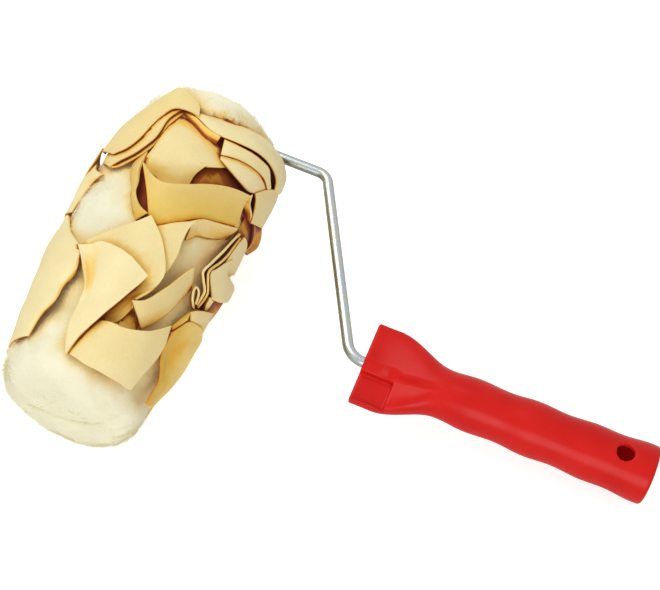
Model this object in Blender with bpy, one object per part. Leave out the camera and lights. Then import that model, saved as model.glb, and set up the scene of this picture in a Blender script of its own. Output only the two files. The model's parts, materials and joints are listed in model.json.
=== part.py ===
"""Textured pattern roller: a fleece-covered paint roller with folded leather strips on its cover,
a bent wire frame and a moulded plastic handle.

The tool is modelled in its own frame: +X runs along the axle to the closed end of the cover, +Y
runs along the handle, and +Z is square to the plane of the wire. The whole tool is then laid down
on the ground: the empty "tool" turns it until the cover and the end of the handle both touch z = 0,
and puts the centre of its footprint at the origin.

Pieces that spin with the cover hang on the empty "roller_axis", whose own Z is the axle.
"""
import math

import bmesh
import bpy
from mathutils import Matrix, Vector

MM = 0.001

# ---------------------------------------------------------------- driving sizes
gap = 0.3 * MM                    # left between pieces that seat on each other

# wire frame: one rod, bent three times
rod_radius = 3.0 * MM
leg_clearance = 3.0 * MM          # between the fleece's open end and the leg beside it
leg_top_y = 67.0 * MM             # where the first leg meets the slanting leg
neck_straight = 8.0 * MM          # from the last bend's corner to the handle
axle_bend = 7.0 * MM
corner_bend = 8.0 * MM
neck_bend = 12.5 * MM
rod_grip_length = 45.0 * MM       # length of rod inside the handle
rod_sides = 14
degrees_per_bend_point = 9.0

# handle
handle_front_y = 126.6 * MM
handle_length = 159.0 * MM
fan_half_width = 23.4 * MM
fan_half_thickness = 5.3 * MM
fan_straight = 12.0 * MM          # length of the fan before it starts to narrow
neck_at = 44.5 * MM               # distance from the front to the thinnest place of the grip
step_depth = 4.0 * MM             # how far one half of the fan lies below the other
step_start = 2.2 * MM             # from the handle's axis, where the step begins
step_end = 4.6 * MM
step_growth = 0.35                # how much deeper the step gets on its way back, as a share
fan_squareness = 7.0              # of the fan's front cross-section; 2 is an ellipse
# shares of neck_at between which the head changes into the grip
thicken_span = (0.1, 1.02)
step_growth_span = (0.15, 0.6)
step_fade_span = (0.62, 1.12)
squareness_span = (0.0, 0.95)
front_round = 1.1 * MM
pocket_length = 18.5 * MM
pocket_rim = 1.0 * MM             # ledge between the step and the pocket
pocket_wall = 1.5 * MM            # thin wall along the outer edge of the fan
pocket_skin = 3.6 * MM            # floor of the pocket
pocket_corner = 3.0 * MM
neck_radius = 13.2 * MM
# the waves of the grip: share of the way from the neck to the butt, radius
grip_waves = [(0.0, neck_radius), (0.145, 14.4 * MM), (0.285, 13.65 * MM), (0.43, 14.85 * MM),
              (0.565, 14.05 * MM), (0.71, 15.1 * MM), (0.815, 14.75 * MM), (0.96, 16.0 * MM)]
butt_round = 1.8 * MM
socket_mouth_radius = 12.0 * MM
socket_end_radius = 10.0 * MM
socket_wall_to_rod = 22.0 * MM    # solid plastic between the rod's end and the socket
hanging_hole_radius = 4.8 * MM
hanging_hole_from_butt = 17.4 * MM
edge_points = 6                   # facets of each rounded edge of a cross-section, from the side up
edge_arc = 60.0                   # degrees of the section that those facets take
round_steps = 3                   # facets of each rounded end
head_ring_step = 3.2 * MM
grip_ring_step = 5.5 * MM

# roller cover
core_length = 172.0 * MM
core_centre_x = -2.0 * MM         # middle of the core, measured from the handle's axis
core_radius = 24.0 * MM
core_wall = 1.8 * MM
pile_height = 16.7 * MM
fleece_overhang = 5.2 * MM        # fleece past the end cap on the wire side
fleece_end_thickness = 5.6 * MM   # pad over the closed end
fleece_end_crown = 0.6 * MM       # rise of the closed end's middle over its edge
fleece_lip = 4.0 * MM             # rounding of the open end's inner edge
fleece_open_round = 9.0 * MM      # shoulder at the wire side
fleece_closed_round = 15.0 * MM   # shoulder at the closed end
cover_sides = 36

# end caps, bushes and what keeps the cover on the axle
cap_flange = 2.0 * MM
cap_skirt_length = 14.0 * MM
cap_skirt_wall = 1.8 * MM
cap_recess = 8.0 * MM
cap_web = 2.2 * MM
hub_wall = 2.7 * MM
hub_length = 13.0 * MM
rib_count = 6
rib_thickness = 1.6 * MM
rib_height = 5.0 * MM
rib_sink = 0.5 * MM               # how far a rib runs into what it stands on
bush_wall = 1.7 * MM
bush_flange_width = 2.4 * MM
bush_flange = 1.2 * MM
washer_width = 4.3 * MM
washer_thickness = 0.8 * MM
collar_width = 2.9 * MM
collar_thickness = 2.5 * MM
push_nut_width = 3.1 * MM
push_nut_thickness = 1.4 * MM
rod_past_nut = 2.0 * MM
small_sides = 24

# leather strips, each folded on itself and fixed to the fleece
leather = 1.2 * MM                # thickness of one layer
flat_fold = 2.0 * leather + 1.0 * MM      # height of a strip folded once, layers almost touching
tall_fold = leather + gap + flat_fold     # height of an open fold, level with a flat one on a strip
triple_fold = 3.0 * leather + 2.0 * MM    # height of a strip folded twice
degrees_per_strip_facet = 11.0
fold_facets = 4
# The pattern of one half turn, drawn flat on a cover of the length and radius below and stretched
# to the cover it is put on: place along the axle, place round the cover (degrees), heading of the
# strip (degrees from the axle), length, width, share of the length that is folded back, height of
# the fold, height of what lies below it.
pattern_length = 172.0
pattern_radius = 41.3
strip_pattern = [
    (-64, 146, 90, 42, 26, 0.75, triple_fold, 0.0),
    (-38, 161, 0, 26, 19, 0.4, flat_fold, 0.0),
    (-56, 94, 90, 32, 22, 0.8, tall_fold, 0.0),
    (-28, 67, 63, 48, 24, 0.35, flat_fold, 0.0),
    (-71, 42, 90, 40, 14, 0.7, triple_fold, 0.0),
    (-53, 17, 90, 28, 20, 0.5, flat_fold, 0.0),
    (15, 99, 58, 40, 22, 0.0, leather, 0.0),
    (50, 97, 17, 50, 22, 0.6, flat_fold, leather + gap),
    (-22, 13, 6, 33, 20, 0.5, flat_fold, 0.0),
    (35, 153, 0, 64, 30, 0.45, flat_fold, 0.0),
    (24, 52, 25, 44, 14, 0.6, triple_fold, 0.0),
    (68, 68, 90, 38, 24, 0.0, leather, 0.0),
    (22, 10, 0, 42, 20, 0.5, flat_fold, 0.0),
    (66, 19, 0, 32, 22, 0.4, flat_fold, 0.0),
]

# ---------------------------------------------------------------- sizes that follow
core_start_x = core_centre_x - core_length / 2.0
core_end_x = core_centre_x + core_length / 2.0
fleece_radius = core_radius + gap + pile_height
fleece_open_x = core_start_x - gap - cap_flange - fleece_overhang
leg_x = fleece_open_x - leg_clearance - rod_radius
neck_y = handle_front_y - neck_straight
bush_bore = rod_radius + gap
bush_radius = bush_bore + bush_wall
hub_bore = bush_radius + gap
hub_radius = hub_bore + hub_wall
cap_skirt_radius = core_radius - core_wall - gap
web_height = cap_flange - cap_recess      # outer face of the web, from the core's end
pocket_start = step_end + pocket_rim
pocket_floor = pocket_skin - fan_half_thickness


# ---------------------------------------------------------------- small helpers
def smoothstep(start, end, value):
    share = min(1.0, max(0.0, (value - start) / (end - start)))
    return share * share * (3.0 - 2.0 * share)


def mix(first, second, share):
    return first + (second - first) * share


def make_material(name, color, roughness, metallic=0.0):
    material = bpy.data.materials.new(name)
    material.use_nodes = True
    shader = material.node_tree.nodes["Principled BSDF"]
    shader.inputs["Base Color"].default_value = (*color, 1.0)
    shader.inputs["Roughness"].default_value = roughness
    shader.inputs["Metallic"].default_value = metallic
    material.diffuse_color = (*color, 1.0)
    return material


def add_empty(name, parent=None):
    empty = bpy.data.objects.new(name, None)
    bpy.context.scene.collection.objects.link(empty)
    empty.parent = parent
    return empty


def add_object(name, data, parent, material, location=(0.0, 0.0, 0.0)):
    data.materials.append(material)
    piece = bpy.data.objects.new(name, data)
    bpy.context.scene.collection.objects.link(piece)
    piece.parent = parent
    piece.location = location
    return piece


def mesh_of(name, bm, sharp_degrees=35.0):
    mesh = bpy.data.meshes.new(name)
    bm.to_mesh(mesh)
    bm.free()
    mesh.shade_smooth()
    mesh.set_sharp_from_angle(angle=math.radians(sharp_degrees))
    return mesh


def arc(centre, radius, start_degrees, end_degrees, steps):
    """Points of an arc in a profile, both ends included."""
    points = []
    for step in range(steps + 1):
        angle = math.radians(mix(start_degrees, end_degrees, step / steps))
        points.append((centre[0] + radius * math.cos(angle), centre[1] + radius * math.sin(angle)))
    return points


def turned(name, profile, sides, parent, material, location=(0.0, 0.0, 0.0)):
    """Turn a closed profile of (radius, height) about the local Z; it runs down its outer side."""
    bm = bmesh.new()
    corners = [bm.verts.new((radius, 0.0, height)) for radius, height in profile]
    for index, corner in enumerate(corners):
        bm.edges.new((corner, corners[(index + 1) % len(corners)]))
    piece = add_object(name, mesh_of(name, bm), parent, material, location)
    turn = piece.modifiers.new("turn", "SCREW")
    turn.angle = math.tau
    turn.steps = sides
    turn.render_steps = sides
    turn.use_merge_vertices = True
    turn.merge_threshold = 0.00001
    return piece


def skin(bm, rings):
    """Join rings of points with quads and close both ends."""
    loops = [[bm.verts.new(point) for point in ring] for ring in rings]
    count = len(loops[0])
    for near, far in zip(loops, loops[1:]):
        for index in range(count):
            follow = (index + 1) % count
            bm.faces.new((near[index], near[follow], far[follow], far[index]))
    bm.faces.new(list(reversed(loops[0])))
    bm.faces.new(loops[-1])
    bmesh.ops.recalc_face_normals(bm, faces=bm.faces)


def guide(name, mesh, parent, location=(0.0, 0.0, 0.0)):
    """An object that only cuts or joins another one."""
    piece = bpy.data.objects.new(name, mesh)
    bpy.context.scene.collection.objects.link(piece)
    piece.parent = parent
    piece.location = location
    piece.hide_render = True
    piece.display_type = "WIRE"
    return piece


def boolean(piece, other, operation):
    change = piece.modifiers.new(other.name, "BOOLEAN")
    change.operation = operation
    change.object = other
    change.solver = "EXACT"


def cone_along_y(name, start, end, start_radius, end_radius, sides):
    """A cutter: a round bar along Y from start to end."""
    bm = bmesh.new()
    turn = Matrix.Translation((0.0, (start + end) / 2.0, 0.0)) @ Matrix.Rotation(-math.pi / 2.0, 4, "X")
    bmesh.ops.create_cone(bm, cap_ends=True, segments=sides, radius1=start_radius, radius2=end_radius,
                          depth=end - start, matrix=turn)
    return mesh_of(name, bm)


# ---------------------------------------------------------------- wire frame
def rod_route():
    """Points of the rod's centre line, from its free end to its end in the handle."""
    corners = [Vector((rod_end_x(), 0.0, 0.0)), Vector((leg_x, 0.0, 0.0)),
               Vector((leg_x, leg_top_y, 0.0)), Vector((0.0, neck_y, 0.0)),
               Vector((0.0, handle_front_y + rod_grip_length - gap, 0.0))]
    points = [corners[0]]
    for before, corner, after, radius in zip(corners, corners[1:], corners[2:],
                                             (axle_bend, corner_bend, neck_bend)):
        towards = (before - corner).normalized()
        onward = (after - corner).normalized()
        half = towards.angle(onward) / 2.0
        centre = corner + (towards + onward).normalized() * (radius / math.sin(half))
        first = corner + towards * (radius / math.tan(half)) - centre
        last = corner + onward * (radius / math.tan(half)) - centre
        steps = math.ceil(math.degrees(first.angle(last)) / degrees_per_bend_point)
        points += [centre + radius * first.normalized().slerp(last.normalized(), step / steps)
                   for step in range(steps + 1)]
    points.append(corners[-1])
    return points


def make_wire_frame(parent, material):
    curve = bpy.data.curves.new("wire_frame", "CURVE")
    curve.dimensions = "3D"
    curve.bevel_depth = rod_radius
    curve.bevel_resolution = (rod_sides - 4) // 2
    curve.use_fill_caps = True
    route = rod_route()
    spline = curve.splines.new("POLY")
    spline.points.add(len(route) - 1)
    for point, place in zip(spline.points, route):
        point.co = (*place, 1.0)
    return add_object("wire_frame", curve, parent, material)


# ---------------------------------------------------------------- handle
def grip_radius(distance):
    """Radius of the grip: half a cosine wave between each crest and the next dip."""
    place = (distance - neck_at) / (handle_length - neck_at)
    if place <= 0.0:
        return neck_radius
    for (start, start_radius), (end, end_radius) in zip(grip_waves, grip_waves[1:]):
        if place <= end:
            share = (1.0 - math.cos(math.pi * (place - start) / (end - start))) / 2.0
            return mix(start_radius, end_radius, share)
    return grip_waves[-1][1]


def head_section(distance):
    """Half width, half thickness, step and squareness of the handle at a distance from its front."""
    share = distance / neck_at
    narrow = smoothstep(fan_straight, neck_at, distance)
    half_width = mix(fan_half_width, grip_radius(distance), narrow)
    half_thickness = mix(fan_half_thickness, grip_radius(distance), smoothstep(*thicken_span, share))
    growth = 1.0 + step_growth * smoothstep(*step_growth_span, share)
    step = step_depth * growth * (1.0 - smoothstep(*step_fade_span, share))
    squareness = mix(fan_squareness, 2.0, math.sqrt(smoothstep(*squareness_span, share)))
    return half_width, half_thickness, step, squareness


def ring_stations(half_width):
    """Places across a cross-section, from +X to -X: close together at the edges and at the step."""
    turns = [math.radians(edge_arc) * index / edge_points for index in range(edge_points + 1)]
    edge = [half_width * math.cos(turn) for turn in turns]
    step = [step_end, (step_end + step_start) / 2.0, step_start]
    right = edge + step
    return right + [0.0] + [-x for x in reversed(right)]


def handle_ring(distance, inset):
    """One cross-section. The lower side is the upper one turned half round the handle's axis."""
    half_width, half_thickness, step, squareness = head_section(distance)
    half_width -= inset

    def height(x, side):
        upper = half_thickness - step * smoothstep(step_start, step_end, x)
        lower = half_thickness - step * smoothstep(step_start, step_end, -x)
        rounding = max(0.0, 1.0 - abs(x / half_width) ** squareness) ** (1.0 / squareness)
        return (upper - lower) / 2.0 + side * ((upper + lower) / 2.0 - inset) * rounding

    across = ring_stations(half_width)
    upper = [(x, distance, height(x, 1.0)) for x in across]
    lower = [(x, distance, height(x, -1.0)) for x in reversed(across[1:-1])]
    return upper + lower


def handle_distances():
    """Distances of the cross-sections from the front, each with its inset for the rounded ends."""
    places = []
    for step in range(round_steps + 1):
        angle = math.pi / 2.0 * step / round_steps
        places.append((front_round * (1.0 - math.cos(angle)), front_round * (1.0 - math.sin(angle))))
    head_steps = math.ceil((neck_at - front_round) / head_ring_step)
    places += [(mix(front_round, neck_at, step / head_steps), 0.0) for step in range(1, head_steps)]
    last = handle_length - butt_round
    grip_steps = math.ceil((last - neck_at) / grip_ring_step)
    places += [(mix(neck_at, last, step / grip_steps), 0.0) for step in range(grip_steps)]
    for step in range(round_steps + 1):
        angle = math.pi / 2.0 * step / round_steps
        places.append((last + butt_round * math.sin(angle), butt_round * (1.0 - math.cos(angle))))
    return places


def pocket_cutter(name, parent):
    """A recess from above in the lower half of the fan, with round inner corners."""
    far = fan_half_width - pocket_wall
    outline = [(pocket_start, -pocket_corner)]
    outline += arc((pocket_start + pocket_corner, pocket_length - pocket_corner), pocket_corner, 180, 90, 4)
    outline += arc((far - pocket_corner, pocket_length - pocket_corner), pocket_corner, 90, 0, 4)
    outline.append((far, -pocket_corner))
    bm = bmesh.new()
    skin(bm, [[(x, y, z) for x, y in outline] for z in (pocket_floor, 4.0 * fan_half_thickness)])
    return guide(name, mesh_of(name, bm), parent)


def make_handle(parent, material):
    bm = bmesh.new()
    skin(bm, [handle_ring(distance, inset) for distance, inset in handle_distances()])
    handle = add_object("handle", mesh_of("handle", bm), parent, material, (0.0, handle_front_y, 0.0))

    upper_pocket = pocket_cutter("upper_pocket", handle)
    lower_pocket = pocket_cutter("lower_pocket", handle)
    lower_pocket.rotation_euler = (0.0, math.pi, 0.0)
    bore = cone_along_y("rod_bore", -gap, rod_grip_length, rod_radius + gap, rod_radius + gap, rod_sides)
    socket = cone_along_y("pole_socket", rod_grip_length + socket_wall_to_rod, handle_length + gap,
                          socket_end_radius, socket_mouth_radius, small_sides)
    hole = cone_along_y("hanging_hole", -fan_half_width, fan_half_width,
                        hanging_hole_radius, hanging_hole_radius, small_sides)
    hole_place = (0.0, handle_length - hanging_hole_from_butt, 0.0)
    hole_guide = guide("hanging_hole", hole, handle, hole_place)
    hole_guide.rotation_euler = (math.pi / 2.0, 0.0, 0.0)
    for other in (upper_pocket, lower_pocket, guide("rod_bore", bore, handle),
                  guide("pole_socket", socket, handle), hole_guide):
        boolean(handle, other, "DIFFERENCE")
    return handle


# ---------------------------------------------------------------- axle stack and end caps
def core_end(side):
    """The core's end; side is -1 at the wire end and +1 at the closed end."""
    return core_start_x if side < 0 else core_end_x


def stack_x(side, below):
    """Outer face of something seated on the cap's web, with the given thickness below it."""
    return core_end(side) + side * (gap + web_height + below)


def rod_end_x():
    below = 4.0 * gap + bush_flange + washer_thickness + push_nut_thickness
    return stack_x(1, below) + rod_past_nut


def ring_profile(inner, outer, low, high):
    return [(outer, high), (outer, low), (inner, low), (inner, high)]


def make_end_cap(name, side, axis, material):
    """A cup-shaped plug: flange on the tube's end, skirt in its bore, web and hub with ribs."""
    inner = cap_skirt_radius - cap_skirt_wall
    web_bottom = web_height - cap_web
    skirt_end = cap_flange - cap_skirt_length
    profile = [(core_radius, cap_flange), (core_radius, 0.0), (cap_skirt_radius, 0.0),
               (cap_skirt_radius, skirt_end), (inner, skirt_end), (inner, web_bottom),
               (hub_radius, web_bottom), (hub_radius, web_height - hub_length),
               (hub_bore, web_height - hub_length), (hub_bore, web_height), (inner, web_height),
               (inner, cap_flange)]
    cap = turned(name, profile, cover_sides, axis, material, (0.0, 0.0, core_end(side) + side * gap))
    if side < 0:
        cap.rotation_euler = (math.pi, 0.0, 0.0)
    bm = bmesh.new()
    length = inner - hub_radius + 2.0 * rib_sink
    height = rib_height + rib_sink
    size = Matrix.Diagonal((length, rib_thickness, height, 1.0))
    place = Matrix.Translation(((inner + hub_radius) / 2.0, 0.0, web_bottom + rib_sink - height / 2.0))
    for index in range(rib_count):
        turn = Matrix.Rotation(math.tau * (index + 0.5) / rib_count, 4, "Z")
        bmesh.ops.create_cube(bm, size=1.0, matrix=turn @ place @ size)
    boolean(cap, guide(name + "_ribs", mesh_of(name + "_ribs", bm), cap), "UNION")


def make_bush(name, side, axis, material):
    """A flanged bush in the hub; the rod runs in its bore."""
    flange_radius = bush_radius + bush_flange_width
    profile = [(flange_radius, bush_flange), (flange_radius, 0.0), (bush_radius, 0.0),
               (bush_radius, -hub_length), (bush_bore, -hub_length), (bush_bore, bush_flange)]
    bush = turned(name, profile, small_sides, axis, material, (0.0, 0.0, stack_x(side, gap)))
    if side < 0:
        bush.rotation_euler = (math.pi, 0.0, 0.0)


def make_axle_ring(name, side, below, thickness, width, tool, material):
    """A washer, collar or nut on the rod, above what the stack already holds."""
    profile = ring_profile(bush_bore, bush_bore + width, 0.0, thickness)
    ring = turned(name, profile, small_sides, tool, material, (stack_x(side, below), 0.0, 0.0))
    ring.rotation_euler = (0.0, side * math.pi / 2.0, 0.0)


def make_axle_stack(tool, axis, steel, plastic, nylon):
    for side, place in ((-1, "inner"), (1, "outer")):
        make_end_cap("end_cap_" + place, side, axis, plastic)
        make_bush("bearing_bush_" + place, side, axis, nylon)
        make_axle_ring("thrust_washer_" + place, side, 2.0 * gap + bush_flange, washer_thickness,
                       washer_width, tool, steel)
    below = 3.0 * gap + bush_flange + washer_thickness
    make_axle_ring("stop_collar", -1, below, collar_thickness, collar_width, tool, steel)
    make_axle_ring("push_nut", 1, below, push_nut_thickness, push_nut_width, tool, steel)


# ---------------------------------------------------------------- cover
def make_core_tube(axis, material):
    profile = ring_profile(core_radius - core_wall, core_radius, 0.0, core_length)
    return turned("core_tube", profile, cover_sides, axis, material, (0.0, 0.0, core_start_x))


def make_fleece_sleeve(axis, material):
    """A sock of deep fleece: open at the wire end, closed over the other end."""
    inner = core_radius + gap
    inner_top = core_end_x + cap_flange + 2.0 * gap
    top = inner_top + fleece_end_thickness
    edge = top - fleece_end_crown
    shoulder, lip, inner_lip = fleece_closed_round, fleece_open_round, fleece_lip
    profile = [(0.0, top), (fleece_radius - shoulder, edge)]
    profile += arc((fleece_radius - shoulder, edge - shoulder), shoulder, 75, 0, 5)
    profile += arc((fleece_radius - lip, fleece_open_x + lip), lip, 0, -90, 4)
    profile += arc((inner + inner_lip, fleece_open_x + inner_lip), inner_lip, -90, -180, 3)
    profile += [(inner, inner_top), (0.0, inner_top)]
    turned("fleece_sleeve", profile, cover_sides, axis, material)


def fold_path(length, folded, height, facets):
    """Centre line of a folded strip, seen from its side: (place along it, height over the fleece).

    It runs along the fleece, turns back over itself, and turns once more where it is folded in three.
    """
    points = [(-length / 2.0, leather / 2.0)]
    layers = 1 if folded == 0.0 else (3 if height == triple_fold else 2)
    pitch = (height - leather) / max(1, layers - 1)
    bend = pitch / 2.0
    ends = [length / 2.0, length / 2.0 - folded * length, length / 2.0 - bend]
    here, level = -length / 2.0, leather / 2.0
    for layer in range(layers):
        forward = layer % 2 == 0
        last = layer == layers - 1
        stop = ends[layer] - (0.0 if last else (bend if forward else -bend))
        points += [(mix(here, stop, step / facets), level) for step in range(1, facets + 1)]
        if not last:
            for step in range(1, fold_facets + 1):
                angle = math.pi * step / fold_facets
                swing = math.sin(angle) * bend * (1.0 if forward else -1.0)
                points.append((stop + swing, level + bend * (1.0 - math.cos(angle))))
        here, level = stop, level + pitch
    return points


def make_strip(name, row, half_turn, axis, material):
    """One leather strip: its folded side view, thickened, made as wide as the strip and wrapped."""
    along, around, heading, length, width, folded, height, below = row
    turn = math.radians(heading)
    swept = math.degrees(length * math.sin(turn) / pattern_radius)
    facets = max(1, math.ceil(swept / degrees_per_strip_facet))
    swept = math.degrees(width * abs(math.cos(turn)) / pattern_radius)
    columns = max(1, math.ceil(swept / degrees_per_strip_facet))
    stretch = core_length / (pattern_length * MM)
    path = [Vector(point) for point in fold_path(length * MM, folded, height, facets)]

    def place(s, t, level):
        """Wrap a point of the flat pattern on the cover; level is its height over the fleece."""
        s, t = s / MM, t / MM
        angle = math.radians(around + half_turn)
        angle += (s * math.sin(turn) + t * math.cos(turn)) / pattern_radius
        radius = fleece_radius + gap + below + level
        height_on_axle = core_centre_x + stretch * (along - core_centre_x / MM
                                                    + s * math.cos(turn) - t * math.sin(turn)) * MM
        return radius * math.cos(angle), radius * math.sin(angle), height_on_axle

    bm = bmesh.new()
    faces_out, faces_in = [], []
    for index, point in enumerate(path):
        before, after = path[max(0, index - 1)], path[min(len(path) - 1, index + 1)]
        forward = (after - before).normalized()
        side = Vector((-forward.y, forward.x)) * leather / 2.0
        for rows, shift in ((faces_out, side), (faces_in, -side)):
            line = []
            for column in range(columns + 1):
                t = (column / columns - 0.5) * width * MM
                line.append(bm.verts.new(place(point.x + shift.x, t, point.y + shift.y)))
            rows.append(line)
    for i in range(len(path) - 1):
        for j in range(columns):
            bm.faces.new((faces_out[i][j], faces_out[i + 1][j], faces_out[i + 1][j + 1],
                          faces_out[i][j + 1]))
            bm.faces.new((faces_in[i][j + 1], faces_in[i + 1][j + 1], faces_in[i + 1][j], faces_in[i][j]))
        for j in (0, columns):
            bm.faces.new((faces_out[i][j], faces_in[i][j], faces_in[i + 1][j], faces_out[i + 1][j]))
    for i in (0, len(path) - 1):
        for j in range(columns):
            bm.faces.new((faces_out[i][j], faces_out[i][j + 1], faces_in[i][j + 1], faces_in[i][j]))
    bmesh.ops.recalc_face_normals(bm, faces=bm.faces)
    add_object(name, mesh_of(name, bm), axis, material)


def make_strips(axis, material):
    number = 0
    for half_turn in (0.0, 180.0):
        for row in strip_pattern:
            number += 1
            make_strip(f"leather_strip_{number:02d}", row, half_turn, axis, material)


# ---------------------------------------------------------------- the whole tool
def lay_down(tool):
    """Turn the tool until cover and handle end both rest, then put the footprint's centre at the origin."""
    rest_radius = fleece_radius + gap + tall_fold
    end_y = handle_front_y + handle_length - butt_round
    tool.rotation_euler = (-math.asin((rest_radius - grip_waves[-1][1]) / end_y), 0.0, 0.0)
    bpy.context.view_layer.update()
    graph = bpy.context.evaluated_depsgraph_get()
    lows, highs = Vector((9.0, 9.0, 9.0)), Vector((-9.0, -9.0, -9.0))
    for piece in bpy.context.scene.objects:
        if piece.type == "EMPTY" or piece.hide_render:
            continue
        shape = piece.evaluated_get(graph)
        mesh = shape.to_mesh()
        for vertex in mesh.vertices:
            place = shape.matrix_world @ vertex.co
            lows = Vector(map(min, lows, place))
            highs = Vector(map(max, highs, place))
        shape.to_mesh_clear()
    tool.location = (-(lows.x + highs.x) / 2.0, -(lows.y + highs.y) / 2.0, -lows.z)


def build():
    for leftover in list(bpy.data.objects):
        bpy.data.objects.remove(leftover, do_unlink=True)
    tool = add_empty("tool")
    axis = add_empty("roller_axis", tool)
    axis.matrix_local = Matrix(((0, 0, 1, 0), (1, 0, 0, 0), (0, 1, 0, 0), (0, 0, 0, 1)))

    steel = make_material("zinc_plated_steel", (0.46, 0.49, 0.50), 0.3, 1.0)
    red_plastic = make_material("red_polypropylene", (0.61, 0.015, 0.01), 0.35)
    cap_plastic = make_material("black_polypropylene", (0.03, 0.03, 0.03), 0.5)
    nylon = make_material("white_nylon", (0.75, 0.74, 0.70), 0.4)
    board = make_material("phenolic_paper", (0.20, 0.11, 0.05), 0.7)
    fleece = make_material("cream_fleece", (0.86, 0.82, 0.64), 0.95)
    chamois = make_material("chamois_leather", (0.87, 0.72, 0.40), 0.8)

    make_wire_frame(tool, steel)
    make_handle(tool, red_plastic)
    make_axle_stack(tool, axis, steel, cap_plastic, nylon)
    make_core_tube(axis, board)
    make_fleece_sleeve(axis, fleece)
    make_strips(axis, chamois)
    lay_down(tool)


build()
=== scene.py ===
# %% [markdown]
# # Textured pattern roller
# A decorator's roller: a cover of deep fleece with folded strips of chamois leather fixed all over
# it, turning on a bent steel rod that is held in a red moulded handle. The exact solids of the tool
# come from its CAD model, and this script builds the looks around them.

# %% Load the frame
import json
import math

import bmesh
import bpy
import numpy as np
from mathutils import Matrix, Vector, noise
from mathutils.bvhtree import BVHTree

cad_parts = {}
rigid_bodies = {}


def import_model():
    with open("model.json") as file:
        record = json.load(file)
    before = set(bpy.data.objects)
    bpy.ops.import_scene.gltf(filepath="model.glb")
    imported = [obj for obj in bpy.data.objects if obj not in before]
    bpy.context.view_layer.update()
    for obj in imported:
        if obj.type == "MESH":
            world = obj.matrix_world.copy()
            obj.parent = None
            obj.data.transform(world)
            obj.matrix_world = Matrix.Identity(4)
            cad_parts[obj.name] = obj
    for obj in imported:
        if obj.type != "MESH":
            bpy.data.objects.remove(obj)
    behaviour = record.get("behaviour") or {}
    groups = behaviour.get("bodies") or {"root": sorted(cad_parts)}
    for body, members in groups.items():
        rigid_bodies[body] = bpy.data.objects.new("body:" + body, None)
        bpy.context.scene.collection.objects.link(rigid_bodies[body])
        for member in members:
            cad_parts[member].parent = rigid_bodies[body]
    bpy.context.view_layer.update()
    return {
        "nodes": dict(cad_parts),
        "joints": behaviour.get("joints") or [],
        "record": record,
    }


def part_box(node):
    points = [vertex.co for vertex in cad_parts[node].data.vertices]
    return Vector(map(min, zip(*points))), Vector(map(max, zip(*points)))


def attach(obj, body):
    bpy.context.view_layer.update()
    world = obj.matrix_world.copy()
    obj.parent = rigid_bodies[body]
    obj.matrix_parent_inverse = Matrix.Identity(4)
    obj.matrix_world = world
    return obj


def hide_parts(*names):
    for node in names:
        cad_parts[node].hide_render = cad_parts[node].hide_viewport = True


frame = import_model()
noise.seed_set(7)  # without a seed noise_vector starts from the clock
MM = 0.001

# %% [markdown]
# The tool lies on a table, so its handle leans a little. It is easier to think in the tool's own
# directions: X along the axle, Y along the handle and Z square to the bent rod. The joint gives the
# point where they start, and the mount on the handle's end gives the way the handle points.

# %% The tool's own directions
axle_point = Vector(frame["joints"][0]["pos_m"])
handle_direction = Vector(frame["record"]["mounts"][0]["axis"]).normalized()
axle_direction = Vector((1.0, 0.0, 0.0))
upright_direction = axle_direction.cross(handle_direction)
tool_place = Matrix((axle_direction, handle_direction, upright_direction)).transposed()
tool_place = Matrix.Translation(axle_point) @ tool_place.to_4x4()
fleece_radius = 41.0 * MM


def on_cover(along, around, height):
    """A point on or above the cover: millimetres along the axle, degrees round it from the
    handle's side over the top, millimetres above the fleece."""
    turn = math.radians(around)
    reach = fleece_radius + height * MM
    return tool_place @ Vector((along * MM, reach * math.cos(turn), reach * math.sin(turn)))


print("axle at", [round(v, 4) for v in axle_point], "lying angle",
      round(math.degrees(math.asin(-handle_direction.z)), 2))

# %% [markdown]
# ## Camera and light
# The camera looks down on the tool from its free end. It could be given as a matrix, but it is
# easier to change as what it looks at, how far away it stands, its direction and height as two
# angles, and a slight roll.

# %% Camera
camera_target = Vector((-0.0184, -0.0224, 0.0460))
camera_distance = 0.8474
camera_azimuth = math.radians(19.01)
camera_elevation = math.radians(58.12)
camera_roll = math.radians(2.08)
towards_camera = Vector((math.cos(camera_elevation) * math.cos(camera_azimuth),
                         math.cos(camera_elevation) * math.sin(camera_azimuth),
                         math.sin(camera_elevation)))
camera = bpy.data.objects.new("camera", bpy.data.cameras.new("camera"))
camera.data.lens = 87.70
camera.data.sensor_width = 36.0
camera.data.clip_start = 0.01
camera.rotation_mode = "QUATERNION"
camera.location = camera_target + towards_camera * camera_distance
camera.rotation_quaternion = (towards_camera.to_track_quat("Z", "Y")
                              @ Matrix.Rotation(camera_roll, 3, "Z").to_quaternion())
bpy.context.scene.collection.objects.link(camera)
bpy.context.scene.camera = camera
bpy.context.scene.view_settings.view_transform = "Standard"
print("camera at", [round(v, 3) for v in camera.location])

# %% [markdown]
# The tool is lit the way small goods are lit for a catalogue: one large soft lamp above, leaning to
# the side away from the handle, another low in front of the cover's closed end, and a pale room all
# around, a little warmer near the floor. The camera and everything shiny see it as plain white.

# %% Helpers for nodes
white = (1.0, 1.0, 1.0, 1.0)


def add_node(tree, kind, **values):
    """A shader node, with some of its input sockets set by name."""
    node = tree.nodes.new("ShaderNode" + kind)
    for socket, value in values.items():
        node.inputs[socket].default_value = value
    return node


def link_all(tree, pairs):
    for output, socket in pairs:
        tree.links.new(output, socket)


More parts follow.
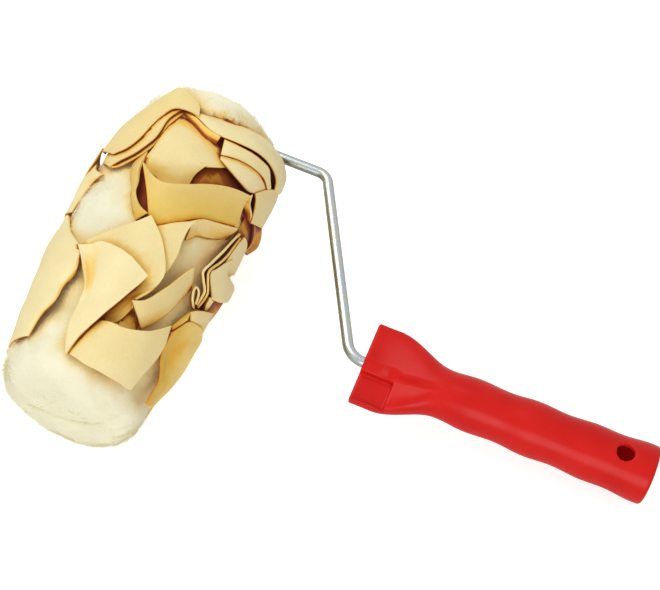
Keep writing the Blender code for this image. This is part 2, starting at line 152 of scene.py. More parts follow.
# %% Room
world = bpy.data.worlds.new("pale_room")
bpy.context.scene.world = world
world.use_nodes = True
room = world.node_tree
room.nodes.clear()
room_light = add_node(room, "Background", Strength=0.56)
room_white = add_node(room, "Background", Color=white, Strength=1.0)
room_way = add_node(room, "TexCoord")
room_height = add_node(room, "SeparateXYZ")
room_tint = add_node(room, "ValToRGB")
low_tint, high_tint = room_tint.color_ramp.elements
low_tint.color = (1.0, 0.90, 0.68, 1.0)
high_tint.position = 0.75
high_tint.color = white
ray_kind = add_node(room, "LightPath")
room_gloss = add_node(room, "MixShader")
room_mix = add_node(room, "MixShader")
room_out = add_node(room, "OutputWorld")
link_all(room, [(room_way.outputs["Generated"], room_height.inputs[0]),
                (room_height.outputs["Z"], room_tint.inputs["Fac"]),
                (room_tint.outputs["Color"], room_light.inputs["Color"]),
                (ray_kind.outputs["Is Glossy Ray"], room_gloss.inputs["Fac"]),
                (room_light.outputs[0], room_gloss.inputs[1]),
                (room_white.outputs[0], room_gloss.inputs[2]),
                (ray_kind.outputs["Is Camera Ray"], room_mix.inputs["Fac"]),
                (room_gloss.outputs[0], room_mix.inputs[1]),
                (room_white.outputs[0], room_mix.inputs[2]),
                (room_mix.outputs[0], room_out.inputs["Surface"])])
print("room nodes:", len(room.nodes))


# %% Lamps
def add_lamp(name, direction, distance, size, power):
    """A square soft lamp that points at the tool from the given direction."""
    lamp = bpy.data.objects.new(name, bpy.data.lights.new(name, "AREA"))
    lamp.data.shape = "SQUARE"
    lamp.data.size = size
    lamp.data.energy = power
    lamp.location = Vector(direction).normalized() * distance
    lamp.rotation_mode = "QUATERNION"
    lamp.rotation_quaternion = Vector(direction).to_track_quat("Z", "Y")
    bpy.context.scene.collection.objects.link(lamp)


add_lamp("key_lamp", (-0.26, -0.44, 0.85), 1.2, 0.8, 5.8)
add_lamp("front_lamp", (0.95, 0.25, 0.52), 1.3, 0.7, 6.2)

# %% [markdown]
# The table is a plain white sheet. Seen directly it is almost pure white, and a part of its
# brightness still comes from the lamps, so the tool keeps a faint shadow.

# %% Table
bpy.ops.object.select_all(action="DESELECT")
bpy.ops.mesh.primitive_plane_add(size=8.0, location=(0.0, 0.0, -0.5 * MM))
table = bpy.context.object
table.name = "table"
table_paint = bpy.data.materials.new("white_table")
table_paint.use_nodes = True
paint = table_paint.node_tree
paint.nodes.clear()
table_gray, table_glow_strength = 0.8, 0.62
table_matt = add_node(paint, "BsdfDiffuse", Color=(table_gray, table_gray, table_gray, 1.0))
table_glow = add_node(paint, "Emission")
table_ray = add_node(paint, "LightPath")
table_strength = add_node(paint, "Math")
table_strength.operation = "MULTIPLY"
table_strength.inputs[1].default_value = table_glow_strength
table_sum = add_node(paint, "AddShader")
table_out = add_node(paint, "OutputMaterial")
link_all(paint, [(table_ray.outputs["Is Camera Ray"], table_strength.inputs[0]),
                 (table_strength.outputs[0], table_glow.inputs["Strength"]),
                 (table_matt.outputs[0], table_sum.inputs[0]),
                 (table_glow.outputs[0], table_sum.inputs[1]),
                 (table_sum.outputs[0], table_out.inputs["Surface"])])
table.data.materials.append(table_paint)
print("table laid")

# %% [markdown]
# ## Materials
# Each finish is one Principled shader. Colour, roughness and small relief come from noise on the
# piece's own coordinates, so the grain stays on the piece when the roller turns.

# %% Helpers for materials
def new_material(name, roughness, **sockets):
    """A Principled material with its object coordinates, ready for patterns."""
    material = bpy.data.materials.new(name)
    material.use_nodes = True
    shader = material.node_tree.nodes["Principled BSDF"]
    shader.inputs["Roughness"].default_value = roughness
    for socket, value in sockets.items():
        shader.inputs[socket.replace("_", " ")].default_value = value
    add_node(material.node_tree, "TexCoord").name = "place"
    return material


def add_noise(material, scale, detail=2.0, stretch=(1.0, 1.0, 1.0)):
    """Noise on the piece's own coordinates. Scale is in spots to the metre."""
    tree = material.node_tree
    mapping = add_node(tree, "Mapping", Scale=stretch)
    spots = add_node(tree, "TexNoise", Scale=scale, Detail=detail)
    link_all(tree, [(tree.nodes["place"].outputs["Object"], mapping.inputs["Vector"]),
                    (mapping.outputs[0], spots.inputs["Vector"])])
    return spots.outputs["Fac"]


def color_by(material, value, stops):
    """Colours by a value from 0 to 1: stops are (place, colour)."""
    ramp = add_node(material.node_tree, "ValToRGB")
    elements = ramp.color_ramp.elements
    while len(elements) < len(stops):
        elements.new(0.5)
    for element, (place, color) in zip(elements, stops):
        element.position = place
        element.color = (*color, 1.0)
    material.node_tree.links.new(value, ramp.inputs["Fac"])
    return ramp.outputs["Color"]


def blend_colors(material, kind, factor, first, second):
    """Blend two colours. Each of them, and the factor, is a plain value or another node's output."""
    blend = add_node(material.node_tree, "Mix")
    blend.data_type = "RGBA"
    blend.blend_type = kind
    color_sockets = [socket for socket in blend.inputs if socket.type == "RGBA"]
    for socket, value in zip((blend.inputs["Factor"], *color_sockets), (factor, first, second)):
        if isinstance(value, float):
            socket.default_value = value
        elif isinstance(value, tuple):
            socket.default_value = (*value, 1.0)
        else:
            material.node_tree.links.new(value, socket)
    return [socket for socket in blend.outputs if socket.type == "RGBA"][0]


def tint(material, color, value, stops, share=1.0):
    """Multiply a colour by the colours that a value picks from the stops."""
    return blend_colors(material, "MULTIPLY", share, color, color_by(material, value, stops))


def range_of(material, value, low, high):
    """Stretch a value from 0..1 to low..high."""
    node = add_node(material.node_tree, "MapRange", **{"To Min": low, "To Max": high})
    material.node_tree.links.new(value, node.inputs["Value"])
    return node.outputs["Result"]


def to_socket(material, output, socket):
    material.node_tree.links.new(output, material.node_tree.nodes["Principled BSDF"].inputs[socket])


def add_bump(material, layers):
    """Relief from (height value, depth in millimetres, strength), one on top of the other."""
    tree = material.node_tree
    below = None
    for value, depth, strength in layers:
        bump = add_node(tree, "Bump", Distance=depth * MM, Strength=strength)
        tree.links.new(value, bump.inputs["Height"])
        if below is not None:
            tree.links.new(below.outputs["Normal"], bump.inputs["Normal"])
        below = bump
    to_socket(material, below.outputs["Normal"], "Normal")


# %% [markdown]
# The handle is red polypropylene from a polished mould: a soft gloss, a faint flow of colour and a
# very fine ripple that breaks up the edges of reflections.

# %% Red plastic
red_plastic = new_material("red_plastic", 0.28, Specular_IOR_Level=0.14, Subsurface_Weight=0.04,
                           Subsurface_Scale=0.002)
red_inputs = red_plastic.node_tree.nodes["Principled BSDF"].inputs
red_inputs["Subsurface Radius"].default_value = (1.0, 0.2, 0.1)
red_flow = add_noise(red_plastic, 45.0, 3.0)
red_color = color_by(red_plastic, red_flow, [(0.3, (0.585, 0.008, 0.006)), (0.7, (0.665, 0.014, 0.010))])
to_socket(red_plastic, red_color, "Base Color")
red_ripple = add_noise(red_plastic, 900.0, 3.0)
to_socket(red_plastic, range_of(red_plastic, red_ripple, 0.24, 0.34), "Roughness")
add_bump(red_plastic, [(add_noise(red_plastic, 160.0, 2.0), 0.12, 0.25),
                       (add_noise(red_plastic, 3200.0, 1.0), 0.02, 0.2)])

# %% [markdown]
# The rod is drawn steel with bright zinc on it. Drawing leaves long fine lines along the rod, and
# the zinc adds a faint mottle that is bluish in some places and straw-coloured in others.

# %% Zinc-plated steel
zinc_steel = new_material("zinc_steel", 0.24, Metallic=1.0)
zinc_mottle = add_noise(zinc_steel, 1400.0, 4.0)
zinc_patches = add_noise(zinc_steel, 110.0, 2.0)
zinc_color = blend_colors(zinc_steel, "MIX", range_of(zinc_steel, zinc_mottle, 0.0, 1.0),
                          (0.38, 0.415, 0.43), (0.55, 0.565, 0.55))
zinc_color = tint(zinc_steel, zinc_color, zinc_patches,
                  [(0.35, (0.90, 0.96, 1.0)), (0.65, (1.0, 0.97, 0.86))])
to_socket(zinc_steel, zinc_color, "Base Color")
to_socket(zinc_steel, range_of(zinc_steel, zinc_mottle, 0.18, 0.38), "Roughness")
add_bump(zinc_steel, [(add_noise(zinc_steel, 2600.0, 2.0), 0.03, 0.35)])

# %% [markdown]
# Chamois is oil-tanned suede: matt, with a very short nap that goes slightly lighter and darker
# where it has been stroked, fine pores, and a paler raw edge where it was cut. Each strip is paler or
# more golden, partly its own tone and partly painted shade where it lies turned from the light, and
# carries that share as an attribute. Deep inside its folds painted shade makes it ochre and then brown:
# that depth is worked out later.

# %% Chamois leather
def read_attribute(material, name):
    node = add_node(material.node_tree, "Attribute")
    node.attribute_name = name
    return node.outputs["Fac"]


def make_chamois(name, pale, golden_and_shade, tucked_share):
    """Leather whose colour goes from pale to golden, partly tone and partly painted shade, and takes
    painted shade by a share of how tucked in it is.
    """
    material = new_material(name, 0.82, Specular_IOR_Level=0.25, Sheen_Weight=0.12, Sheen_Roughness=0.5)
    cloud = add_noise(material, 55.0, 4.0)
    nap = add_noise(material, 650.0, 5.0)
    color = blend_colors(material, "MIX", read_attribute(material, "golden_and_shade"), pale, golden_and_shade)
    color = tint(material, color, cloud, [(0.30, (0.95, 0.92, 0.84)), (0.70, (1.0, 1.0, 1.0))])
    color = tint(material, color, nap, [(0.25, (0.86, 0.82, 0.74)), (0.75, (1.0, 1.0, 1.0))], 0.30)
    # painted shade: the deeper a point is tucked in, the more ochre and then brown it is painted
    color = tint(material, color, read_attribute(material, "tucked"), [
        (0.03, (1.0, 1.0, 1.0)), (0.18, (1.0, 0.84, 0.48)), (0.38, (1.0, 0.70, 0.24)),
        (0.48, (0.84, 0.46, 0.10)), (0.60, (0.42, 0.12, 0.02)), (1.0, (0.18, 0.02, 0.003))], tucked_share)
    to_socket(material, color, "Base Color")
    to_socket(material, range_of(material, nap, 0.72, 0.95), "Roughness")
    add_bump(material, [(add_noise(material, 90.0, 3.0), 0.8, 0.18), (nap, 0.12, 0.45),
                        (add_noise(material, 2400.0, 2.0), 0.05, 0.5)])
    return material


# the second colour is the golden tone, which partly stands in for shade
chamois = make_chamois("chamois", (0.935, 0.830, 0.485), (0.790, 0.545, 0.100), 1.0)
chamois_edge = make_chamois("chamois_cut_edge", (1.000, 0.940, 0.680), (0.960, 0.840, 0.460), 0.3)

# %% [markdown]
# The fleece is a cream pile. Its body gives the mass of the pile, and thousands of fine fibres on
# top give its soft outline. Both are almost white, with painted shade that makes them a little warmer
# towards the roots, and ochre where leather lies beside or over the pile, standing in for the shade
# and the coloured light that the leather gives it.

# %% Fleece
def make_fleece(name, roughness, deep, pale, **sockets):
    """A fleece material and its colour, which gets ochre painted shade where the pile is tucked in."""
    material = new_material(name, roughness, Specular_IOR_Level=0.15, **sockets)
    color = color_by(material, add_noise(material, 65.0, 3.0), [(0.30, deep), (0.65, pale)])
    # painted shade: ochre where the pile is tucked in
    return material, tint(material, color, read_attribute(material, "tucked"), [
        (0.02, (1.0, 1.0, 1.0)), (0.22, (1.0, 0.86, 0.58)), (0.55, (1.0, 0.76, 0.42)),
        (1.0, (0.90, 0.60, 0.28))])


fleece_pile, pile_color = make_fleece("fleece_pile", 0.95, (0.870, 0.835, 0.605), (0.915, 0.885, 0.670),
                                      Sheen_Weight=0.2, Sheen_Roughness=0.6)
to_socket(fleece_pile, pile_color, "Base Color")
add_bump(fleece_pile, [(add_noise(fleece_pile, 260.0, 6.0), 0.9, 0.35),
                       (add_noise(fleece_pile, 1500.0, 3.0), 0.3, 0.4)])
fleece_fibre, fibre_color = make_fleece("fleece_fibre", 0.9, (0.885, 0.855, 0.630), (0.930, 0.905, 0.700),
                                        Sheen_Weight=0.15)
# painted shade: darker towards a fibre's root, and ochre near leather
for attribute, stops in (("along_fibre", [(0.0, (0.95, 0.92, 0.84)), (0.7, (1.0, 1.0, 1.0))]),
                         ("painted_shade_by_leather", [(0.1, (1.0, 1.0, 1.0)), (1.0, (1.0, 0.88, 0.64))])):
    fibre_color = tint(fleece_fibre, fibre_color, read_attribute(fleece_fibre, attribute), stops)
to_socket(fleece_fibre, fibre_color, "Base Color")

# %% [markdown]
# What is inside the open end is plainer: black moulded end caps, natural nylon bushes and a tube of
# resin-soaked paper.

# %% Inner materials
cap_plastic = new_material("cap_plastic", 0.45, Specular_IOR_Level=0.4)
cap_flow = add_noise(cap_plastic, 300.0, 3.0)
cap_color = color_by(cap_plastic, cap_flow, [(0.3, (0.018, 0.018, 0.019)), (0.7, (0.035, 0.035, 0.036))])
to_socket(cap_plastic, cap_color, "Base Color")
to_socket(cap_plastic, range_of(cap_plastic, cap_flow, 0.38, 0.55), "Roughness")
add_bump(cap_plastic, [(add_noise(cap_plastic, 2500.0, 2.0), 0.03, 0.4)])
bush_nylon = new_material("bush_nylon", 0.4, Subsurface_Weight=0.1, Subsurface_Scale=0.002)
bush_flow = add_noise(bush_nylon, 400.0, 3.0)
bush_color = color_by(bush_nylon, bush_flow, [(0.3, (0.70, 0.69, 0.64)), (0.7, (0.79, 0.78, 0.74))])
to_socket(bush_nylon, bush_color, "Base Color")
core_board = new_material("core_board", 0.75)
board_fibres = add_noise(core_board, 900.0, 5.0, (0.2, 1.0, 1.0))
board_color = color_by(core_board, board_fibres, [(0.3, (0.13, 0.07, 0.035)), (0.7, (0.24, 0.14, 0.07))])
to_socket(core_board, board_color, "Base Color")
add_bump(core_board, [(board_fibres, 0.15, 0.4)])
print("materials:", len(bpy.data.materials))

# %% [markdown]
# ## Wire frame
# The frame is one 6 mm rod that is bent three times. It is made the way a bending machine makes it:
# a round section is pushed straight, then spun round the centre of a bend, then pushed again.

# %% Modelling helpers
same_place = 0.01 * MM  # points nearer than this are merged


def start_piece():
    """Leave edit mode and deselect everything, so that the next operator meets only its own piece."""
    if bpy.context.object is not None and bpy.context.object.mode != "OBJECT":
        bpy.ops.object.mode_set(mode="OBJECT")
    bpy.ops.object.select_all(action="DESELECT")


def use(piece):
    """Make a piece the only one selected and active."""
    start_piece()
    piece.select_set(True)
    bpy.context.view_layer.objects.active = piece


def edit_all():
    """Edit mode with everything in the active piece selected."""
    bpy.ops.object.mode_set(mode="EDIT")
    bpy.ops.mesh.select_all(action="SELECT")


def end_edit():
    bpy.ops.object.mode_set(mode="OBJECT")


def piece_from(bm, name):
    """A new piece of what was built up in bm, which is then freed."""
    mesh = bpy.data.meshes.new(name)
    bm.to_mesh(mesh)
    bm.free()
    piece = bpy.data.objects.new(name, mesh)
    bpy.context.scene.collection.objects.link(piece)
    return piece


def apply_modifier(piece, kind, **settings):
    """Add one modifier and apply it at once."""
    use(piece)
    modifier = piece.modifiers.new(kind.lower(), kind)
    for setting, value in settings.items():
        setattr(modifier, setting, value)
    bpy.ops.object.modifier_apply(modifier=modifier.name)


def fix_in_place(piece, place=None):
    """Write a piece's place into its mesh, so that its object sits at the origin."""
    if place is not None:
        piece.matrix_world = place @ piece.matrix_world
    use(piece)
    bpy.ops.object.transform_apply(location=True, rotation=True, scale=True)


def finish_piece(piece, name, body, slot_name, materials, *cad_nodes):
    """Name a finished piece, give it its materials and body, and hide the CAD nodes that it stands for."""
    piece.name = name
    piece.data.name = name
    piece.data.materials.clear()
    for material in materials:
        piece.data.materials.append(material)
    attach(piece, body)
    if cad_nodes:
        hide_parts(*cad_nodes)


def triangles(piece):
    return sum(len(face.vertices) - 2 for face in piece.data.polygons)


def set_values(piece, name, values):
    """Keep one number for each point of a piece, for its material to read."""
    piece.data.attributes.new(name, "FLOAT", "POINT").data.foreach_set("value", values)


# %% Wire frame
rod_radius = 3.0 * MM
rod_sides = 40
leg_end_y = 67.0 * MM
slant_end_y = 118.6 * MM
rod_end_y = 171.3 * MM  # inside the handle
rod_low, rod_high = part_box("wire_frame")
leg_x = rod_low.x - axle_point.x + rod_radius
rod_end_x = rod_high.x - axle_point.x
rod_corners = [Vector((x, y, 0.0)) for x, y in ((rod_end_x, 0.0), (leg_x, 0.0), (leg_x, leg_end_y),
                                                (0.0, slant_end_y), (0.0, rod_end_y))]
bend_radii = [7.0 * MM, 8.0 * MM, 12.5 * MM]
degrees_per_step = 4.0

start_piece()
bpy.ops.mesh.primitive_circle_add(vertices=rod_sides, radius=rod_radius, fill_type="NOTHING",
                                  location=rod_corners[0], rotation=(0.0, math.pi / 2.0, 0.0))
rod = bpy.context.object
fix_in_place(rod)
edit_all()
end = rod_corners[0]
for before, corner, after, radius in zip(rod_corners, rod_corners[1:], rod_corners[2:], bend_radii):
    arriving = (corner - before).normalized()
    leaving = (after - corner).normalized()
    turning = arriving.angle(leaving)
    reach = radius * math.tan(turning / 2.0)
    bend_start = corner - arriving * reach
    axis = arriving.cross(leaving).normalized()
    bpy.ops.mesh.extrude_region_move(TRANSFORM_OT_translate={"value": bend_start - end})
    bpy.ops.mesh.spin(steps=max(8, round(math.degrees(turning) / degrees_per_step)), angle=-turning,
                      center=bend_start + axis.cross(arriving) * radius, axis=axis)
    end = corner + leaving * reach
bpy.ops.mesh.extrude_region_move(TRANSFORM_OT_translate={"value": rod_corners[-1] - end})
bpy.ops.mesh.select_all(action="SELECT")
bpy.ops.mesh.remove_doubles(threshold=same_place)
bpy.ops.mesh.fill_holes(sides=0)
bpy.ops.mesh.normals_make_consistent(inside=False)
end_edit()
bpy.ops.object.shade_smooth_by_angle(angle=math.radians(40.0))
fix_in_place(rod, tool_place)
finish_piece(rod, "bent_rod", "frame", "zinc_steel", [zinc_steel], "wire_frame")
print("bent rod:", triangles(rod), "triangles", [round(v * 1000, 1) for v in rod.dimensions])

# %% [markdown]
# ## Handle
# The handle is moulded in one piece: a flat fan-shaped head whose two halves are stepped, a grip
# with soft waves, a hole to hang it by and a deep socket for a pole. The shape is a row of
# cross-sections, so a round section is extruded along the handle first, and each of its rings is
# then drawn to its own width, thickness and step. The pocket, bores and hole are cut afterwards, and
# a fine remesh with a little smoothing turns every corner into the small radius of a moulding.

# %% Handle sections
handle_front = 126.6 * MM
handle_length = 159.0 * MM
fan_half_width = 23.4 * MM
fan_half_thickness = 5.3 * MM
neck_at = 44.5 * MM
neck_radius = 13.2 * MM
step_depth = 4.0 * MM
step_start, step_end = 2.2 * MM, 4.6 * MM
front_round = 1.1 * MM
butt_round = 1.8 * MM
arc_steps = 5
ring_gap = 1.1 * MM
grip_waves = [(0.0, neck_radius), (0.145, 14.4 * MM), (0.285, 13.65 * MM), (0.43, 14.85 * MM),
              (0.565, 14.05 * MM), (0.71, 15.1 * MM), (0.815, 14.75 * MM), (0.96, 16.0 * MM)]


def smoothstep(start, stop, value):
    share = min(1.0, max(0.0, (value - start) / (stop - start)))
    return share * share * (3.0 - 2.0 * share)


def mix(first, second, share):
    return first + (second - first) * share


def grip_radius(distance):
    """Half a cosine wave between each crest and the next dip of the grip."""
    place = (distance - neck_at) / (handle_length - neck_at)
    if place <= 0.0:
        return neck_radius
    for (start, start_radius), (stop, stop_radius) in zip(grip_waves, grip_waves[1:]):
        if place <= stop:
            share = (1.0 - math.cos(math.pi * (place - start) / (stop - start))) / 2.0
            return mix(start_radius, stop_radius, share)
    return grip_waves[-1][1]


def section_point(distance, inset, around):
    """A point of one cross-section, at an angle round it. The lower half is the upper half turned
    over, so the step of one blade is above and that of the other is below."""
    share = distance / neck_at
    neck_share = smoothstep(12.0 * MM, neck_at, distance)
    half_width = mix(fan_half_width, grip_radius(distance), neck_share) - inset
    half_thickness = mix(fan_half_thickness, grip_radius(distance), smoothstep(0.1, 1.02, share))
    step = step_depth * (1.0 + 0.35 * smoothstep(0.15, 0.6, share))
    step *= 1.0 - smoothstep(0.62, 1.12, share)
    squareness = mix(7.0, 2.0, math.sqrt(smoothstep(0.0, 0.95, share)))
    across, up = math.cos(around), math.sin(around)
    x = half_width * math.copysign(abs(across) ** (2.0 / squareness), across)
    upper = half_thickness - step * smoothstep(step_start, step_end, x)
    lower = half_thickness - step * smoothstep(step_start, step_end, -x)
    rounding = math.copysign(abs(up) ** (2.0 / squareness), up)
    return Vector((x, distance, (upper - lower) / 2.0 + rounding * ((upper + lower) / 2.0 - inset)))


def handle_stations():
    """Distances from the front, each with how far its section is drawn in for the rounded ends."""
    quarter = [math.pi / 2.0 * step / arc_steps for step in range(arc_steps + 1)]
    stations = [(front_round * (1.0 - math.cos(a)), front_round * (1.0 - math.sin(a))) for a in quarter]
    last = handle_length - butt_round
    count = round((last - front_round) / ring_gap)
    stations += [(mix(front_round, last, step / count), 0.0) for step in range(1, count)]
    return stations + [(last + butt_round * math.sin(a), butt_round * (1.0 - math.cos(a))) for a in quarter]


# %% Handle blank
section_sides = 240
start_piece()
bpy.ops.mesh.primitive_circle_add(vertices=section_sides, radius=neck_radius, fill_type="NOTHING",
                                  rotation=(math.pi / 2.0, 0.0, 0.0))
handle = bpy.context.object
fix_in_place(handle)
edit_all()
stations = handle_stations()
for (here, _), (there, _) in zip(stations, stations[1:]):
    bpy.ops.mesh.extrude_region_move(TRANSFORM_OT_translate={"value": (0.0, there - here, 0.0)})
end_edit()
distances = [distance for distance, _ in stations]
for vertex in handle.data.vertices:
    ring = int(np.argmin([abs(distance - vertex.co.y) for distance in distances]))
    distance, inset = stations[ring]
    vertex.co = section_point(distance, inset, math.atan2(vertex.co.z, vertex.co.x))
use(handle)
edit_all()
bpy.ops.mesh.fill_holes(sides=0)
bpy.ops.mesh.normals_make_consistent(inside=False)
end_edit()
print("handle blank:", len(stations), "rings,", triangles(handle), "triangles")

# %% [markdown]
# The cutters are plain solids at the sizes of the CAD model: a pocket with round corners on either
# face of the head, the bore for the rod, the tapered socket and the hanging hole.

# %% Cutters
pocket_start, pocket_length = 5.6 * MM, 18.5 * MM
pocket_floor, pocket_wall, pocket_corner = -1.7 * MM, 1.5 * MM, 3.0 * MM
past_surface = 20.0 * MM  # how high the pocket's cutter reaches
rod_bore_radius, rod_bore_length, rod_bore_middle = 3.3 * MM, 46.0 * MM, 22.0 * MM
socket_start, socket_deep_radius, socket_mouth_radius = 67.0 * MM, 10.0 * MM, 12.0 * MM
hole_radius, hole_from_butt = 4.8 * MM, 17.4 * MM


def cut(piece, cutter):
    """Take the cutter, which is then removed, out of the piece."""
    apply_modifier(piece, "BOOLEAN", object=cutter, operation="DIFFERENCE", solver="EXACT")
    bpy.data.objects.remove(cutter)


def round_cutter(start_radius, end_radius, length, location, rotation):
    start_piece()
    bpy.ops.mesh.primitive_cone_add(vertices=64, radius1=start_radius, radius2=end_radius, depth=length,
                                    location=location, rotation=rotation)
    cutter = bpy.context.object
    fix_in_place(cutter)
    return cutter


def pocket_cutter(turn):
    """A box with two rounded upright corners that takes out the recess of one blade."""
    low = Vector((pocket_start, -pocket_corner, pocket_floor))
    high = Vector((fan_half_width - pocket_wall, pocket_length, past_surface))
    start_piece()
    bpy.ops.mesh.primitive_cube_add(size=1.0, location=(low + high) / 2.0, scale=high - low)
    cutter = bpy.context.object
    fix_in_place(cutter)
    bpy.ops.object.mode_set(mode="EDIT")
    bpy.ops.mesh.select_all(action="DESELECT")
    for edge in bmesh.from_edit_mesh(cutter.data).edges:
        first, second = (vertex.co for vertex in edge.verts)
        edge.select = min(first.y, second.y) > 0.0 and abs(first.z - second.z) > 1.0 * MM
    bmesh.update_edit_mesh(cutter.data)
    bpy.ops.mesh.bevel(offset=pocket_corner, segments=8)
    end_edit()
    cutter.matrix_world = Matrix.Rotation(turn, 4, "Y")
    fix_in_place(cutter)
    return cutter


# %% Handle cuts
along_y, upright = (-math.pi / 2.0, 0.0, 0.0), (0.0, 0.0, 0.0)
socket_length = handle_length + 0.3 * MM - socket_start
socket_middle = socket_start + socket_length / 2.0
cut(handle, pocket_cutter(0.0))
cut(handle, pocket_cutter(math.pi))
for start_radius, end_radius, length, middle, rotation in (
        (rod_bore_radius, rod_bore_radius, rod_bore_length, rod_bore_middle, along_y),
        (socket_deep_radius, socket_mouth_radius, socket_length, socket_middle, along_y),
        (hole_radius, hole_radius, 50.0 * MM, handle_length - hole_from_butt, upright)):
    cut(handle, round_cutter(start_radius, end_radius, length, (0.0, middle, 0.0), rotation))
print("handle cut:", triangles(handle), "triangles")

# %% Handle finish
voxel = 0.56 * MM
apply_modifier(handle, "REMESH", mode="VOXEL", voxel_size=voxel)
apply_modifier(handle, "SMOOTH", factor=0.5, iterations=5)
use(handle)
bpy.ops.object.shade_smooth()
handle.location = (0.0, handle_front, 0.0)
fix_in_place(handle)
fix_in_place(handle, tool_place)
finish_piece(handle, "moulded_handle", "frame", "red_plastic", [red_plastic], "handle")
print("handle:", triangles(handle), "triangles", [round(v * 1000, 1) for v in handle.dimensions])

# %% [markdown]
# ## What holds the cover on the rod
# The caps, bushes, washers, collar and nut already have their right shape in the CAD model. Its
# meshes are loose flat triangles, so each is copied, its doubles are merged, its sharp edges get a
# tiny bevel that catches the light, and its round sides are shaded smooth.

# %% Caps, bushes and rings
def smooth_copy(node, name, body, slot_name, material, bevel):
    """A smoothed copy of a CAD node, which stands for that node."""
    copy = frame["nodes"][node].copy()
    copy.data = copy.data.copy()
    for key in [key for key in copy.keys() if key.startswith("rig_")]:
        del copy[key]
    copy.parent = None
    bpy.context.scene.collection.objects.link(copy)
    use(copy)
    edit_all()
    bpy.ops.mesh.remove_doubles(threshold=same_place)
    bpy.ops.mesh.dissolve_limited(angle_limit=math.radians(0.5))
    end_edit()
    apply_modifier(copy, "BEVEL", width=bevel, segments=2, limit_method="ANGLE",
                   angle_limit=math.radians(40.0))
    use(copy)
    bpy.ops.object.shade_smooth_by_angle(angle=math.radians(35.0))
    finish_piece(copy, name, body, slot_name, [material], node)


for place in ("inner", "outer"):
    for node, name, body, slot_name, material, bevel in (
            ("end_cap_", "moulded_cap_", "roller", "cap_plastic", cap_plastic, 0.2),
            ("bearing_bush_", "nylon_bush_", "roller", "bush_nylon", bush_nylon, 0.15),
            ("thrust_washer_", "steel_washer_", "frame", "zinc_steel", zinc_steel, 0.1)):
        smooth_copy(node + place, name + place, body, slot_name, material, bevel * MM)
smooth_copy("stop_collar", "steel_collar", "frame", "zinc_steel", zinc_steel, 0.25 * MM)
smooth_copy("push_nut", "spring_nut", "frame", "zinc_steel", zinc_steel, 0.15 * MM)
smooth_copy("core_tube", "paper_core", "roller", "core_board", core_board, 0.2 * MM)

# %% [markdown]
# ## Leather strips
# Each strip was cut from a skin, some 15 to 55 mm wide, then bent, folded and tacked into the pile,
# so it stands up in some places and is tucked in at others. Modelling one flat ribbon and bending
# it gives no such folds. Instead a strip is laid with cross-lines, in the order in which the leather
# runs, each from one long edge to the other. Every point of a line is given on the cover:
# millimetres along the axle, degrees round it and millimetres above the fleece. A smooth curve
# through the lines makes the sheet, which then gets the thickness of the leather.

# %% Shaping a strip
leather = 1.2 * MM
across_steps = 10
steps_between_lines = 6
table_room = 0.8 * MM
lowest = -1.0  # millimetres: no point of a strip is deeper in the fleece


def smooth_path(points, count):
    """A smooth curve through all the points, a Catmull-Rom spline, read at equal steps."""
    points = np.array(points, float)
    if len(points) == 2:
        share = np.linspace(0.0, 1.0, count)[:, None]
        return points[0] * (1.0 - share) + points[1] * share
    padded = np.vstack([2.0 * points[0] - points[1], points, 2.0 * points[-1] - points[-2]])
    path = []
    for place in np.linspace(0.0, len(points) - 1.0, count):
        first = min(int(place), len(points) - 2)
        t = place - first
        a, b, c, d = padded[first:first + 4]
        path.append(0.5 * (2.0 * b + (c - a) * t + (2.0 * a - 5.0 * b + 4.0 * c - d) * t * t
                           + (3.0 * b - a - 3.0 * c + d) * t ** 3))
    return np.array(path)


def pressed_height(around, height):
    """Leather under the roller is pressed flat by the table, and keeps its order of layers."""
    turn = math.radians(around)
    way = tool_place.to_3x3() @ Vector((0.0, math.cos(turn), math.sin(turn)))
    if way.z > -0.3 or height <= 0.0:
        return height
    room = ((axle_point.z - table_room) / -way.z - fleece_radius) / MM
    return height * room / (height ** 3 + room ** 3) ** (1.0 / 3.0)


far_limit, near_limit = 105.0, 35.0  # degrees round the cover, between which nothing is drawn in


def drawn_in(around, height):
    """On the half that lies underneath, the outer strips reach less far round and lie flatter."""
    share = min(1.0, max(0.0, (around - far_limit) / 65.0, (near_limit - around) / 45.0))
    if around > far_limit:
        around = far_limit + (around - far_limit) * 0.55
    elif around < near_limit:
        around = near_limit + (around - near_limit) * 0.5
    return around, height * (1.0 - 0.5 * share)


def shape_strip(name, lines, turned, seed):
    """A leather sheet through its cross-lines, turned round the cover, with small waves of its own."""
    points_of_line = len(lines[0])
    rows_count = (len(lines) - 1) * steps_between_lines + 1
    edges = [smooth_path([line[index] for line in lines], rows_count) for index in range(points_of_line)]
    bm = bmesh.new()
    rows = []
    for row_index in range(rows_count):
        row = []
        for along, around, height in smooth_path([edge[row_index] for edge in edges], across_steps + 1):
            wave = noise.noise_vector(Vector((along / 13.0, around / 17.0, seed))) * 0.5
            height += wave.z
            if turned:
                around, height = drawn_in(around, height)
            height = pressed_height(around + turned, max(height, lowest))
            row.append(bm.verts.new(on_cover(along + wave.x, around + turned + wave.y, height)))
        rows.append(row)
    for row, following in zip(rows, rows[1:]):
        for index in range(across_steps):
            bm.faces.new((row[index], following[index], following[index + 1], row[index + 1]))
    return piece_from(bm, name)


# %% [markdown]
# The pattern covers half of the roller, with fourteen strips that follow each other round the cover,
# and a few shorter ends and curls between them. The other half is the same pattern turned half
# round, as such covers are made.

